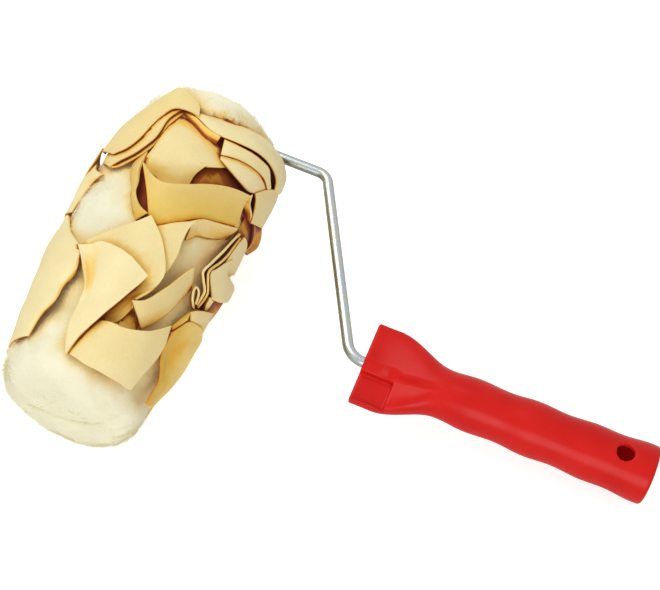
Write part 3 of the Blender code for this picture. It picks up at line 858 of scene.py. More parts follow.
# %% The fourteen strips of the pattern
strip_nets = {
    # top layer of the folded stack at the open end
    1: [[(-75, 92, 6), (-80, 94, 5.5), (-84, 97, 5)], [(-76, 100, 7), (-82, 103, 6.8), (-88, 107, 6)],
        [(-75, 109, 8), (-82, 112, 8), (-90, 114, 7)], [(-69, 114, 8), (-77, 119, 8.5), (-85, 120, 7)],
        [(-61, 118, 8), (-68, 127, 8.8), (-76, 131, 7)], [(-51, 122, 8), (-59, 136, 9), (-68, 147, 7)],
        [(-45, 128, 8), (-52, 145, 9.2), (-62, 162, 7)], [(-43, 138, 7.5), (-48, 152, 9), (-55, 168, 7)]],
    # ribbon along the side turned from the handle
    2: [[(-31, 142, 5.5), (-36, 152, 7.5), (-43, 160, 7.6)],
        [(-29, 150, 5.5), (-31, 158, 9.3), (-35, 166, 10)],
        [(-26, 155, 5.6), (-27, 163, 9.6), (-28, 172, 9)], [(-20, 158, 6), (-20, 166, 9), (-20, 175, 8)],
        [(-10, 159, 6.4), (-10, 167, 8.6), (-10, 176, 6.8)]],
    # wide flap that makes the back of the cone
    3: [[(-74, 108, 2.5), (-74, 98, 1), (-69, 80, 1.6), (-60, 56, 2.6)],
        [(-61, 109, 4.2), (-63, 98, 4.6), (-61, 83, 4), (-54.5, 64, 3.2)],
        [(-50, 111, 4), (-51, 100, 5.2), (-53, 86, 5), (-50, 72, 3.8)],
        [(-40, 113, 4), (-42, 100, 4.5), (-46, 86, 4.5), (-50, 73, 4)],
        [(-30, 114, -0.3), (-32, 102, 0.4), (-35, 87, 1.8), (-42, 77, 2.2)],
        [(-19, 111, -0.8), (-21, 101, -0.8), (-25, 87, -0.3), (-33, 77, 0.8)],
        [(-8, 101, -0.8), (-10, 95, -0.8), (-14, 86, -0.6), (-24, 76, 0.2)]],
    # tall band that makes its front
    4: [[(-36, 109, 9), (-24, 101, 6), (-8, 91, 3.6)], [(-29, 99, 10), (-20, 92, 6), (-5.5, 82.5, 3.2)],
        [(-27, 90, 10), (-21, 84, 5.5), (-9, 76, 3.3)], [(-32, 78, 10), (-26, 73, 5), (-14.5, 69, 3.4)],
        [(-38, 68, 10), (-31, 64, 5), (-21, 60.5, 3.6)], [(-45, 54, 9.5), (-37, 51, 5.2), (-25, 50, 3.7)],
        [(-51, 39, 8), (-44, 37, 6), (-33, 31.5, 4.3)]],
    # layers folded round the handle's side of the open end
    5: [[(-69, 71, 6.5), (-60, 68, 6)], [(-71, 58, 7), (-63, 58, 6.8)], [(-73, 45, 7.5), (-66, 45, 7.3)],
        [(-74, 34, 7.5), (-67, 34, 7.3)], [(-70, 27, 7.3), (-66, 28, 7)], [(-68, 19, 6.5), (-65, 23, 6.6)]],
    6: [[(-56, 34, 7), (-66, 24, 7), (-76, 8, 6.5)], [(-54, 30, 6.7), (-63, 16, 7), (-74, -2, 6)],
        [(-50, 26, 6.2), (-58, 10, 6.5), (-69, -12, 5)], [(-44, 21, 5.5), (-50, 8, 6), (-56, -6, 5)]],
    # strip that folds over itself: its first leg
    7: [[(-8, 89, 6), (0, 98, 5.7), (8, 110, 5.7), (18, 125, 5.8)],
        [(-1, 80, 7), (8, 92, 6.5), (15, 104, 5.6), (24, 118, 3)],
        [(9, 71, 7.3), (17, 83, 6.3), (24, 95, 4.2), (32, 110, 1.5)],
        [(18, 66, 7.6), (26, 76, 5.6), (33, 88, 2.8), (40, 103, 0.8)],
        [(25, 66, 8), (33, 75, 5), (41, 86, 2), (48, 98, 1)],
        [(32, 69, 8), (38, 73, 4.5), (47, 81, 1.2), (54, 90, 0.8)],
        [(39, 74, 7.5), (43, 73, 4), (50, 76, 1), (56, 82, 0.8)]],
    # broad strip on top of it, cupped at its upper corner
    8: [[(19, 124, 7), (17.5, 116, 6), (16, 107, 8.3), (19, 90, 9.8), (26, 74, 9.8)],
        [(30, 114, 6.8), (28, 109.5, 3.4), (26, 102, 7.2), (29, 90, 9.4), (34, 77, 9.5)],
        [(41, 106, 6), (40, 103, 4.3), (39, 98, 7.2), (41, 90, 8.7), (45, 81.5, 8.7)],
        [(52, 104, 5), (52, 101, 5.6), (52, 98, 6.7), (54, 92, 7.6), (57, 87, 7.3)],
        [(62, 104, 3.5), (63, 101, 4.5), (64, 98, 5.2), (66, 94.5, 5.8), (67, 92, 5.8)],
        [(70, 102, 2), (71, 100, 3), (72, 98, 3.5), (73, 96, 4), (74, 94.5, 4)],
        [(77, 98, 1.5), (77.5, 97.5, 2), (78, 97, 2.3), (78.5, 96.5, 2.5), (79, 96, 2.5)]],
    # double roll on the handle's side
    9: [[(-12.7, 29, 6.5), (-15.4, 26, 6.2), (-17.7, 24, 6)],
        [(-4.3, 35, 7), (-8.5, 29, 6.8), (-13.5, 22, 6.2)],
        [(0.2, 38, 7.2), (-3.7, 30, 7), (-9.5, 21, 6.3)],
        [(4.3, 35, 7.2), (-0.9, 26, 7.2), (-9.8, 14, 6.5)], [(7, 30, 6.8), (0.6, 19, 7), (-12.3, -2, 6.5)],
        [(9.2, 26, 6.5), (3.3, 13, 6.6), (-9, -9, 6)], [(8.6, 25.5, 5), (2.9, 12.5, 5), (-9, -8.5, 4.6)]],
    # long strip on the side turned from the handle, its lower edge turned under
    10: [[(-8, 162, 6.5), (-9, 163, 7.5), (-9, 166, 8), (-9, 172, 7.5)],
        [(5.5, 146, 4.6), (5, 147, 6), (3, 158, 8), (1, 172, 8)],
        [(17, 129, 4.8), (16, 130, 6.6), (13, 148, 8.8), (10, 174, 8.5)],
        [(25, 122, 4.6), (23, 122, 6.8), (20, 143, 8.8), (18, 174, 8)],
        [(35, 117, 4.4), (33, 119.5, 7.2), (30, 143, 8), (27, 172, 6.5)],
        [(43, 121, 4.2), (42, 122, 6.8), (39, 144, 7), (36, 170, 5.5)],
        [(53, 122, 4.2), (52, 122, 6), (50, 142, 6), (48, 168, 4)],
        [(61, 128, 3.4), (60, 128, 5.3), (59, 143, 5), (58, 165, 3)],
        [(72, 134, 1), (72, 135.5, 1.8), (73, 146, 1.6), (74, 161, 0.8)]],
    # the first leg comes back as a standing band
    11: [[(41, 75, 8), (46, 68, 5.8), (50, 61, 3)], [(37, 68, 8.5), (40, 61, 5.5), (42, 55, 2)],
        [(25, 61, 9), (28, 54, 5.5), (30, 48, 2)], [(15, 56, 8.7), (18, 50, 5.3), (20, 44.5, 2)],
        [(6, 51, 8), (10, 46, 5), (13, 41.5, 2.5)]],
    # broad flap over the closed end
    12: [[(57, 88, 4), (68, 92, 3.5), (78, 96, 2)], [(56, 80, 6), (68, 82, 5), (80, 84, 2.5)],
        [(56, 73, 7), (68, 74, 5.8), (80.5, 75, 2.8)], [(54, 66, 7.5), (67, 67, 6), (80.5, 67, 2.8)],
        [(50, 58, 7.5), (66, 58, 5.8), (80, 58, 2.5)], [(45, 52, 7), (62, 51, 5.2), (80, 52, 2.2)],
        [(39, 46, 6.5), (55, 42.5, 4.5), (79, 48, 2)]],
    13: [[(25, 37, 5.8), (27, 34, 5.3), (29, 31, 4)], [(21, 32, 6.3), (24, 27, 5.8), (27, 23, 4)],
        [(16, 22, 6), (20, 19, 5.6), (25.5, 15, 4.2)], [(11, 12, 5), (17, 11, 4.6), (24, 8, 3.5)]],
    14: [[(41, 42, 5), (36, 39, 5), (29, 34, 5.5), (26, 25, 5.5), (25, 19, 6)],
        [(48, 40, 2.5), (43, 34, 1.5), (38, 28, 1), (33, 22, 3.5), (29, 13, 6)],
        [(54, 37, 1.5), (50, 32, 0), (46, 26, -0.5), (43, 21, 3), (38, 14, 6)],
        [(58, 31, 1), (55, 26, -0.2), (53, 23, -0.4), (50, 18, 2), (47, 11, 4.5)],
        [(63, 27, 1), (61, 23, 0.3), (59, 19, 0.3), (57, 16, 1.8), (55, 11, 3)],
        [(69, 28, 1), (67, 24, 0.5), (66, 20, 0.5), (66, 18, 1.2), (65, 15, 2)],
        [(77, 29, 1), (77, 27, 0.8), (77, 25, 0.8), (76, 23, 1), (76, 21, 1)]],
}

# %% Ends, curls and inner layers
inner_nets = {
    # second and third layers of the stack: one length, folded back at its left end
    "stack_fold": (1, [[(-77, 105, 5.5), (-82, 106, 5), (-85, 108, 4)],
        [(-69, 110, 5.8), (-75, 114, 6), (-82, 117, 5)],
        [(-57, 111.5, 6), (-64, 118, 6.5), (-71, 124, 5.5)],
        [(-50, 115, 6), (-57, 125, 6.6), (-64, 134, 5.5)],
        [(-43.5, 121, 6), (-50, 133, 6.6), (-57, 146, 5.5)],
        [(-39, 131, 6), (-45, 144, 6.6), (-51, 156, 5.5)],
        [(-36, 138, 5.5), (-42, 150, 5.6), (-47, 161, 4.6)], [(-37, 131, 4), (-43, 143, 4), (-49, 154, 3)],
        [(-43, 118.5, 4), (-49, 130, 4), (-56, 142, 3)], [(-49, 113, 4), (-56, 123, 4), (-63, 133, 3)],
        [(-57, 110, 4), (-64, 117, 4), (-71, 124, 3)], [(-66, 109, 4), (-73, 114, 4), (-80, 118, 3)],
        [(-77, 103, 3.5), (-82, 105, 3), (-86, 108, 2)]]),
    "side_arch": (2, [[(-54, 160, 8.8), (-54, 170, 8.6), (-53, 180, 8)],
        [(-46, 161, 9.4), (-46, 171, 9.4), (-46, 182, 9)],
        [(-38, 161, 10), (-38, 172, 10.2), (-38, 184, 10)],
        [(-33, 161, 9.6), (-33, 172, 9.6), (-32, 184, 9)]]),
    "open_end_band": (5, [[(-77, 104, 3.8), (-79, 104, 2.6), (-81, 104, -0.5)],
        [(-75, 94, 5.3), (-78, 93, 4), (-81.5, 93, -0.5)],
        [(-70, 83, 6.3), (-76, 83, 5), (-82.5, 83, -0.3)], [(-69, 73, 7.3), (-76.5, 72, 6), (-84.5, 71, 0)],
        [(-71, 62, 7.9), (-79, 60, 7), (-87, 58, 0.5)], [(-74, 47, 8.4), (-81, 45, 7.6), (-90, 42, 1)],
        [(-75.5, 34, 8.4), (-82, 30, 8), (-91, 24, 2.5)], [(-74, 22, 8), (-82, 12, 7.5), (-93, 2, 4)],
        [(-70, 15, 7), (-78, 2, 6.8), (-93, -12, 5.5)]]),
    "band_curl": (5, [[(-77, 104, 3.8), (-76.5, 103.5, 3.4), (-76, 103, 2.4)],
        [(-75, 94, 5.3), (-73, 93.5, 4.6), (-71.8, 93, 2.4)],
        [(-70, 83, 6.3), (-68, 83, 5.5), (-66.8, 82.5, 2.8)],
        [(-69, 74, 7.2), (-67, 74, 6), (-66, 74, 3)]]),
    "second_layer": (5, [[(-61, 68, 4.6), (-58, 67.5, 4.8)], [(-64, 58, 5.2), (-56, 60, 5.3)],
        [(-66.5, 47, 5.7), (-54, 50, 5.8)], [(-67.5, 37, 6), (-53.5, 42, 6)], [(-66, 27, 6), (-55, 36, 6)],
        [(-64, 22, 5.6), (-60, 28, 5.8)]]),
    "pocket_floor": (3, [[(-84, 76, 1.5), (-85, 50, 1.8), (-86, 30, 3), (-86, 4, 3.5)],
        [(-66, 76, 1.5), (-66, 52, 1.5), (-66, 34, 3.5), (-66, 8, 4)],
        [(-55, 74, 0.8), (-55, 54, 0.2), (-55, 38, 0.6), (-56, 12, 2.5)],
        [(-36, 79, 0.3), (-38, 60, 0), (-42, 42, 0.3), (-46, 18, 1.8)]]),
    "side_backing": (6, [[(-57, 27, 2.5), (-57, 8, 3), (-57, -16, 3)],
        [(-44, 25, 2), (-43, 6, 2.5), (-43, -16, 2.8)], [(-31, 23, 1.2), (-31, 4, 1.5), (-31, -16, 1.5)]]),
    "cone_side": (4, [[(-46, 113, 4.5), (-48, 117, 3)], [(-40, 112, 6), (-41, 123, 2)],
        [(-33, 110, 7), (-32, 119, 1.8)], [(-25, 107, 7.4), (-26, 114.5, 1.8)],
        [(-19, 106, 7), (-18.5, 110, 1.8)], [(-14, 102.5, 6.2), (-13, 106, 1.8)],
        [(-11, 98, 5.5), (-9, 102, 1.8)], [(-9.5, 92, 4.6), (-5, 98, 1.6)]]),
    # lining of the cone at its open side, darkened by painted shade
    "cone_lining": (3, [[(-43, 113, 1), (-36, 104, 1)], [(-32, 115, 1), (-28, 97, 1)],
        [(-20, 112, 1), (-18, 93, 1)], [(-10, 104, 1), (-8, 91, 1)]]),
    "pocket_bottom": (7, [[(36, 92, 0.3), (48, 94, 0.2), (60, 94, 0.2)],
        [(38, 82, 0.2), (50, 82, 0.1), (61, 82, 0.2)], [(42, 73, 0.2), (51, 72, 0), (61, 72, 0.2)],
        [(45, 63, 0.3), (52, 62, 0), (60, 62, 0.2)]]),
    "pale_triangle": (7, [[(-3, 85, 4.2), (-10, 75, 5), (-15, 67, 5.6), (-20, 61, 6)],
        [(1, 80, 4.6), (-4, 73, 5), (-8, 68, 5.5), (-12, 64.5, 6)],
        [(6, 75, 5), (2, 70, 5), (-1, 67, 5.3), (-4, 64.5, 5.8)],
        [(12, 70, 4.8), (9, 67, 5), (7, 65, 5), (5, 63, 5.2)],
        [(18, 65.5, 4.2), (17.5, 65, 4.2), (17, 64.5, 4.3), (16.5, 64, 4.4)]]),
    "standing_band": (7, [[(-13, 64.5, 6), (-10, 63, 4), (-7, 62, 2)],
        [(-17, 63, 6.3), (-13.5, 61, 3), (-11, 59, 0)], [(-21, 59, 6.2), (-17.5, 57, 2.5), (-15, 55, -0.5)],
        [(-25, 50, 5.8), (-21, 49, 2.2), (-18, 47, -0.5)], [(-29, 41, 5.3), (-25, 40, 2), (-22, 39, -0.5)],
        [(-34, 31, 4.8), (-30, 30, 2), (-27, 29, 0)]]),
    "curl_by_band": (6, [[(-54, 35, 7), (-51, 36, 4)], [(-49, 33, 6.5), (-48, 33, 3)],
        [(-47, 26, 5.5), (-48, 27, 2)], [(-45, 20, 4.5), (-46, 21, 1)]]),
    "hanging_end": (6, [[(-45, 18, 5.5), (-50, 8, 4.5), (-54, 0, 5)],
        [(-43, 9, 5), (-47, 0, 4.5), (-51, -8, 6.8)], [(-41, -1, 3.6), (-43.5, -6, 4), (-46, -11, 7.2)],
        [(-35, 2, 2.4), (-37, -4, 2.6), (-39, -10, 4)]]),
    "roll_lip": (9, [[(-33.6, 26, 4.5), (-33.6, 22, 2.5)], [(-29.1, 29, 5.2), (-29, 25, 2)],
        [(-14.6, 36, 6.3), (-15, 31, 2)], [(-5.9, 40, 7), (-7, 35, 2.5)],
        [(2.6, 43.6, 7.5), (0.6, 38.5, 3)], [(6.6, 40, 7.4), (4.6, 35, 3)],
        [(10.3, 34.5, 6.8), (9.3, 29, 2.5)], [(14.7, 34, 6), (13.7, 29, 2)],
        [(18.5, 34, 5), (17.5, 29, 1.5)]]),
    "roll_second": (9, [[(-32.7, 22.5, 4.5), (-32.7, 20.5, 2.5)], [(-24.1, 26.5, 5.5), (-24.1, 24.5, 2)],
        [(-17.2, 29.5, 6.2), (-17.2, 27.5, 2)], [(-8, 34.5, 7), (-8.5, 32.5, 2.5)],
        [(0.7, 39.6, 7.5), (0, 37.4, 3)], [(4.9, 37.4, 7.4), (4.4, 35, 3)],
        [(9.1, 31.8, 6.8), (8.8, 29, 2.5)], [(13.1, 30.8, 6), (12.7, 28, 2)],
        [(19, 31.6, 5), (18.4, 29, 1.5)]]),
    "roll_tongue": (9, [[(9.8, 28, 6), (7.2, 22, 6)], [(13.6, 26, 4.8), (11.4, 21, 4.8)],
        [(16, 23, 3.6), (15.1, 20, 3.6)]]),
    "roll_backing": (9, [[(6, 24, 2.8), (11, 24, 1.9), (17, 22, 1.4)],
        [(-1, 10, 2.8), (8, 8, 1.9), (14, 12, 1.4)], [(-8, -8, 4.4), (2, -8, 3), (9, -8, 1.4)]]),
    "roll_upper": (9, [[(-35, 20, 5), (-37, 8, 3.6), (-38, -8, 2.5)],
        [(-28, 23.5, 5.6), (-30, 9, 4.2), (-31, -8, 2.6)], [(-20, 27, 6), (-21, 14, 4.8), (-22, -2, 3)],
        [(-14, 28.5, 6.2), (-15, 21, 5), (-16, 8, 3.5)], [(-9, 31, 6), (-10, 25, 5), (-11, 14, 3.5)]]),
    "small_curl": (13, [[(20.6, 33.5, 4.5), (20.4, 32, 3)], [(20.6, 36, 5), (20.4, 34.5, 3)],
        [(18.5, 39.6, 5.5), (18.2, 38, 3)], [(15, 42.4, 6), (14.6, 40.5, 3.4)],
        [(12.4, 42, 6), (12, 40, 3.4)], [(13, 38.6, 6), (12.6, 36.5, 3.4)],
        [(16, 36.4, 5.6), (15.6, 34.5, 3)], [(18.8, 35, 5), (18.5, 33.5, 3)]]),
    "thin_layer": (14, [[(38, 43, 4.5), (40, 41, 3)], [(31, 40, 5.5), (34, 38, 4)],
        [(25, 37, 6), (29, 35.5, 5)]]),
}

# how golden each strip is from one long edge to the other, 0 for the palest: partly the strip's own tone,
# partly painted shade where it lies turned from the light
golden_and_shade_share = {1: (0.35, 0.35), 2: (0.1, 0.1), 3: (0.2, 0.2), 4: (0.6, 1.0), 5: (0.0, 0.0),
                6: (0.2, 0.2), 7: (0.2, 0.25), 8: (0.0, 0.0), 9: (0.1, 0.1), 10: (0.0, 0.1),
                11: (0.3, 0.3), 12: (0.3, 0.2), 13: (0.3, 0.3), 14: (1.2, 0.45)}

# how much deeper than they lie the linings count: painted shade that darkens the pockets they line
lining_painted_shade = {"14": 0.06, "pocket_floor": 0.28, "cone_lining": 0.45, "roll_backing": 0.45,
                "side_backing": 0.4, "hanging_end": 0.5, "band_curl": 0.25, "roll_second": 0.15}

# %% Strips
leather_pieces = []
for half, turned in enumerate((0.0, 180.0)):
    for number, main_net in strip_nets.items():
        nets = {str(number): main_net}
        nets.update((name, net) for name, (owner, net) in inner_nets.items() if owner == number)
        strip_name = f"{number + len(strip_nets) * half:02d}"
        lengths = []
        for index, (name, net) in enumerate(nets.items()):
            length = shape_strip(name, net, turned, seed=3.7 * number + 11.0 * index + 41.0 * half)
            rows_count = len(length.data.vertices) // (across_steps + 1)
            # golden tone with painted shade, and the extra painted shade of linings, for every point
            tones = {"golden_and_shade": np.linspace(*golden_and_shade_share[number], across_steps + 1),
                     "lining": np.full(across_steps + 1, lining_painted_shade.get(name, 0.0))}
            for tone, values in tones.items():
                set_values(length, tone, np.tile(values, rows_count))
            lengths.append(length)
        for length in lengths:
            apply_modifier(length, "SOLIDIFY", thickness=leather, offset=0.0, material_offset_rim=1)
        start_piece()
        for length in lengths:
            length.select_set(True)
        strip = bpy.context.view_layer.objects.active = lengths[0]
        if len(lengths) > 1:
            bpy.ops.object.join()
        bpy.ops.object.shade_smooth_by_angle(angle=math.radians(40.0))
        finish_piece(strip, f"chamois_strip_{strip_name}", "roller", "chamois", [chamois, chamois_edge],
                     f"leather_strip_{strip_name}")
        leather_pieces.append(strip)
print("leather pieces:", len(leather_pieces), "triangles", sum(triangles(s) for s in leather_pieces))

# %% [markdown]
# ## How deep a point is tucked in, for painted shade
# Leather and pile get painted shade, darker and warmer, where they are folded away from light and air.
# How deep a point is tucked in is measured by looking out from it in two dozen directions: the share
# that soon meets something is kept as an attribute of the piece, and its material paints it as shade.

# %% Looking out from a point
look_distance = 30.0 * MM
look_count = 24
look_directions = []
for index in range(look_count):
    lift = math.sqrt((index + 0.5) / look_count)
    aside = math.sqrt(1.0 - lift * lift)
    turn = index * math.pi * (3.0 - math.sqrt(5.0))
    look_directions.append(Vector((aside * math.cos(turn), aside * math.sin(turn), lift)))


def tree_of(pieces):
    """All the faces of some pieces, ready to be looked for along a line."""
    joined = bmesh.new()
    for piece in pieces:
        joined.from_mesh(piece.data)
    tree = BVHTree.FromBMesh(joined)
    joined.free()
    return tree


def painted_shade_at(tree, point, normal):
    """0 for a point that sees nothing near it, 1 for one that is covered all round."""
    turned = normal.to_track_quat("Z", "Y")
    start = point + normal * 0.15 * MM
    met = 0.0
    for direction in look_directions:
        distance = tree.ray_cast(start, turned @ direction, look_distance)[3]
        if distance is not None:
            met += 1.0 - (distance / look_distance) ** 2
    return met / len(look_directions)


leather_tree = tree_of(leather_pieces)
print("looking in", len(look_directions), "directions")

# %% [markdown]
# ## Fleece
# The cover is a sock of deep cream pile, open round the rod and pulled closed over the other end. A
# displaced tube alone looks like plaster, and particle hair doesn't leave Blender, so the pile is
# made of two things. The body is the dense lower part of the pile: a closed, softly lumpy sleeve.
# On it stand many thousands of fine blades, the fibres, which give the soft outline.

# %% Fleece body
sleeve_sides = 320
body_top = 39.3 * MM
bore_radius = 24.4 * MM
closed_face, open_face = 90.6 * MM, -96.6 * MM
bore_end = 86.4 * MM
closed_shoulder, open_shoulder, bore_lip = 15.0 * MM, 2.8 * MM, 4.0 * MM


def corner_arc(center_x, center_r, radius, start, stop, steps):
    """Points of a quarter-like arc of the section, as (along the axle, out from it)."""
    return [(center_x + radius * math.sin(math.radians(a)), center_r + radius * math.cos(math.radians(a)))
            for a in np.linspace(start, stop, steps)]


def even_points(points, gap):
    """The same outline with a point at every gap."""
    points = np.array(points)
    places = np.concatenate([[0.0], np.cumsum(np.linalg.norm(np.diff(points, axis=0), axis=1))])
    wanted = np.linspace(0.0, places[-1], max(2, round(places[-1] / gap)))
    return np.column_stack([np.interp(wanted, places, column) for column in points.T])


outside = [(closed_face + 0.5 * MM, 0.0)]
for center_x, center_r, radius, start, stop, steps in (
        (closed_face - closed_shoulder, body_top - closed_shoulder, closed_shoulder, 88, 0, 14),
        (open_face + open_shoulder, body_top - open_shoulder, open_shoulder, 0, -90, 10),
        (open_face + bore_lip, bore_radius + bore_lip, bore_lip, -90, -180, 6)):
    outside += corner_arc(center_x, center_r, radius, start, stop, steps)
outside = even_points(outside, 1.1 * MM)
inside = even_points([tuple(outside[-1]), (bore_end - 2.0 * MM, bore_radius),
                      (bore_end, bore_radius - 2.0 * MM), (bore_end, 0.0)], 4.0 * MM)[1:]

# the pulled-closed end has a crease across it: points across the end face, from side to side
crease_line = [Vector((y * MM, z * MM))
               for y, z in ((-24, -9), (-14, -7), (-5, -7), (6, -6), (17, 0), (32, 15))]
crease_depth, crease_width = 2.2 * MM, 2.8 * MM
far_bulge, end_bulge, push, comb_depth = 5.6 * MM, 4.0 * MM, 1.3 * MM, 6.0 * MM


def distance_to_crease(y, z):
    """How far a point of the end face is from the crease."""
    point = Vector((y, z))
    best = 1.0
    for start, end in zip(crease_line, crease_line[1:]):
        span = end - start
        share = min(1.0, max(0.0, (point - start).dot(span) / span.length_squared))
        best = min(best, (point - start - span * share).length)
    return best


def plateau(start, full, fall, stop, value):
    """0 outside start and stop, 1 between full and fall, smooth on the way."""
    return smoothstep(start, full, value) * (1.0 - smoothstep(fall, stop, value))


def swell(along, turn, reach):
    """How far the pile is pushed out or, at the handle's side of the closed end, combed flat."""
    around = math.degrees(turn) % 360.0
    flat_side = max(0.0, math.cos(turn - math.radians(5.0))) ** 1.3
    combed = smoothstep(32.0 * MM, 66.0 * MM, along) * flat_side * min(1.0, reach / (30.0 * MM))
    far_side = plateau(120.0, 165.0, 195.0, 235.0, around)
    upper_side = plateau(35.0, 75.0, 105.0, 130.0, around)
    return (far_bulge * far_side * plateau(-75.0 * MM, -40.0 * MM, 15.0 * MM, 50.0 * MM, along)
            + end_bulge * upper_side * (1.0 - smoothstep(-84.0 * MM, -66.0 * MM, along))
            + push * plateau(-92.0 * MM, -80.0 * MM, 48.0 * MM, 74.0 * MM, along) - comb_depth * combed)


def sleeve_point(along, reach, turn, is_outside):
    """One point of the sleeve in the tool's directions: on the outside it is lumpy, swells between
    the strips and dips into the crease."""
    if is_outside and reach > 1.0 * MM:
        spot = Vector((along, reach * math.cos(turn), reach * math.sin(turn)))
        lump = noise.noise(spot / (11.0 * MM)) * 0.9 * MM + noise.noise(spot / (4.0 * MM)) * 0.25 * MM
        reach += lump + swell(along, turn, reach)
        if along > closed_face - 6.0 * MM:
            nearness = (distance_to_crease(spot.y, spot.z) / crease_width) ** 2
            along += lump * 0.7 - crease_depth * math.exp(-nearness)
    return tool_place @ Vector((along, reach * math.cos(turn), reach * math.sin(turn)))


# %% Fleece body's mesh
clear_of_leather = 0.9 * MM


def under_leather(point):
    """The same point, drawn towards the axle where it would come out through a strip."""
    on_axle = Vector((point.x, axle_point.y, axle_point.z))
    outward = (point - on_axle).normalized()
    hit = leather_tree.ray_cast(on_axle, outward, 0.08)
    if hit[0] is None:
        return point
    return on_axle + outward * min((point - on_axle).length, hit[3] - clear_of_leather)


bm = bmesh.new()
rings = []
for is_outside, outline in ((True, outside), (False, inside)):
    for along, reach in outline:
        if reach < same_place:
            rings.append([bm.verts.new(tool_place @ Vector((along, 0.0, 0.0)))])
            continue
        ring = []
        for side in range(sleeve_sides):
            point = sleeve_point(along, reach, 2.0 * math.pi * side / sleeve_sides, is_outside)
            if is_outside and reach > body_top - 8.0 * MM:
                point = under_leather(point)
            ring.append(bm.verts.new(point))
        rings.append(ring)
for ring, following in zip(rings, rings[1:]):
    for side in range(sleeve_sides):
        after = (side + 1) % sleeve_sides
        if len(ring) == 1:
            bm.faces.new((ring[0], following[side], following[after]))
        elif len(following) == 1:
            bm.faces.new((ring[side], following[0], ring[after]))
        else:
            bm.faces.new((ring[side], following[side], following[after], ring[after]))
bmesh.ops.recalc_face_normals(bm, faces=bm.faces)
sleeve = piece_from(bm, "fleece_body")
sleeve_mesh = sleeve.data
use(sleeve)
bpy.ops.object.shade_smooth()
print("fleece body:", triangles(sleeve), "triangles")

# %% How deep the pile is tucked in, for its painted shade
# it is measured at every third ring and every fourth side, and blended in between
ring_step, side_step = 3, 4
measured_rings = range(1, len(outside) + ring_step, ring_step)
measured = []
for ring in measured_rings:
    first = 1 + (min(ring, len(outside) - 1) - 1) * sleeve_sides
    vertices = [sleeve_mesh.vertices[first + side] for side in range(0, sleeve_sides, side_step)]
    measured.append([painted_shade_at(leather_tree, vertex.co, vertex.normal) for vertex in vertices])
sides_of_turn = np.arange(sleeve_sides) / side_step
rings_painted_shade = np.array([np.interp(sides_of_turn, np.arange(len(row) + 1), [*row, row[0]])
                         for row in measured])
body_painted_shade = np.array([[np.interp(ring, measured_rings, rings_painted_shade[:, side])
                         for side in range(sleeve_sides)] for ring in range(len(outside))])
values = np.full(len(sleeve_mesh.vertices), 0.5)
values[0] = body_painted_shade[1].mean()
values[1:1 + (len(outside) - 1) * sleeve_sides] = body_painted_shade[1:].ravel()
set_values(sleeve, "tucked", values)
finish_piece(sleeve, "fleece_body", "roller", "cream_fleece", [fleece_pile], "fleece_sleeve")
print("deepest pile:", round(float(body_painted_shade.max()), 2))

# %% [markdown]
# Every fibre is a blade of three triangles that grows out of the body, leans with its neighbours as
# a brushed pile does, and ends in a point. Where leather lies over the pile a fibre is left out or
# kept shorter than the gap under the leather. An attribute runs from 0 at a root to 1 at a tip, so
# that painted shade makes the pile warmer inside.

# %% Fleece fibres
fibre_gap = 0.68 * MM
fibre_length = (4.2 * MM, 6.4 * MM)
fibre_width = 0.24 * MM
fibre_stop = -98.2 * MM      # the pile goes no further over the open end
closed_end_share = 0.62      # the pile is shorter on the closed end
least_room = 2.2 * MM        # under leather nearer than this nothing grows
left_out = 0.75              # share of the fibres that are missing under leather
shortest = 1.2 * MM
above_table = 0.2 * MM
closed_end = closed_face - 9.0 * MM
# painted shade: how far leather darkens and warms the pile
painted_shade_reach = 5.0 * MM        # how far leather colours the pile
pile_seed = 7


def fibre_roots():
    """Points on the outside of the body, one to each square gap, with normals, tucked depths for the
    painted shade and the random numbers of their fibres. Each face has draws of its own, so that a
    fibre which comes or goes changes no other."""
    roots = []
    for face in sleeve.data.polygons:
        middle = tool_place.inverted() @ face.center
        if math.hypot(middle.y, middle.z) < bore_radius + 0.5 * MM and middle.x < closed_face - 4.0 * MM:
            continue
        draw = np.random.default_rng((pile_seed, face.index))
        count = int(face.area / fibre_gap ** 2 + draw.random())
        corners = [sleeve.data.vertices[index].co for index in face.vertices]
        for _ in range(count):
            share, other, *chances = draw.random(5)
            spreads = draw.normal(size=6)
            near = corners[0].lerp(corners[1], share)
            far = corners[-1].lerp(corners[2 if len(corners) > 3 else 1], share)
            ring, side = divmod(face.index, sleeve_sides)
            tucked = body_painted_shade[min(ring, len(outside) - 1), side]
            roots.append((near.lerp(far, other), face.normal, tucked, chances, spreads))
    return roots


def grow_fibre(root, normal, chances, spreads):
    """Root, middle and tip of one fibre, or None where leather covers it."""
    spot = tool_place.inverted() @ root
    lay = noise.noise_vector(spot / (14.0 * MM)) * 1.6 + noise.noise_vector(spot / (4.0 * MM)) * 0.4
    lay += Vector(spreads[:3]) * 0.12
    lay = (lay - normal * lay.dot(normal)).normalized() * mix(1.0, 2.4, chances[0])
    length = mix(*fibre_length, chances[1])
    if spot.x > closed_end:
        length *= closed_end_share
    if spot.x < fibre_stop + length:
        facing = max(0.0, -normal.x)
        length = min(length, mix(length, max(1.5 * MM, spot.x - fibre_stop), facing))
    covered = leather_tree.ray_cast(root, normal, length)
    if covered[0] is not None:
        if covered[3] < least_room or chances[2] < left_out:
            return None
        length = min(length, covered[3] * 0.75)
    way = (normal + lay).normalized()
    bent = (normal * 0.30 + lay).normalized()
    hit = leather_tree.ray_cast(root, way, length + 0.5 * MM)
    if hit[0] is not None:
        length = min(length, hit[3] * 0.8)
        if length < shortest:
            return None
    middle = root + way * length * 0.5
    tip = middle + bent * length * 0.5
    if leather_tree.ray_cast(middle, bent, length * 0.5 + 0.3 * MM)[0] is not None:
        tip = middle + way * length * 0.4
    return root, middle, tip


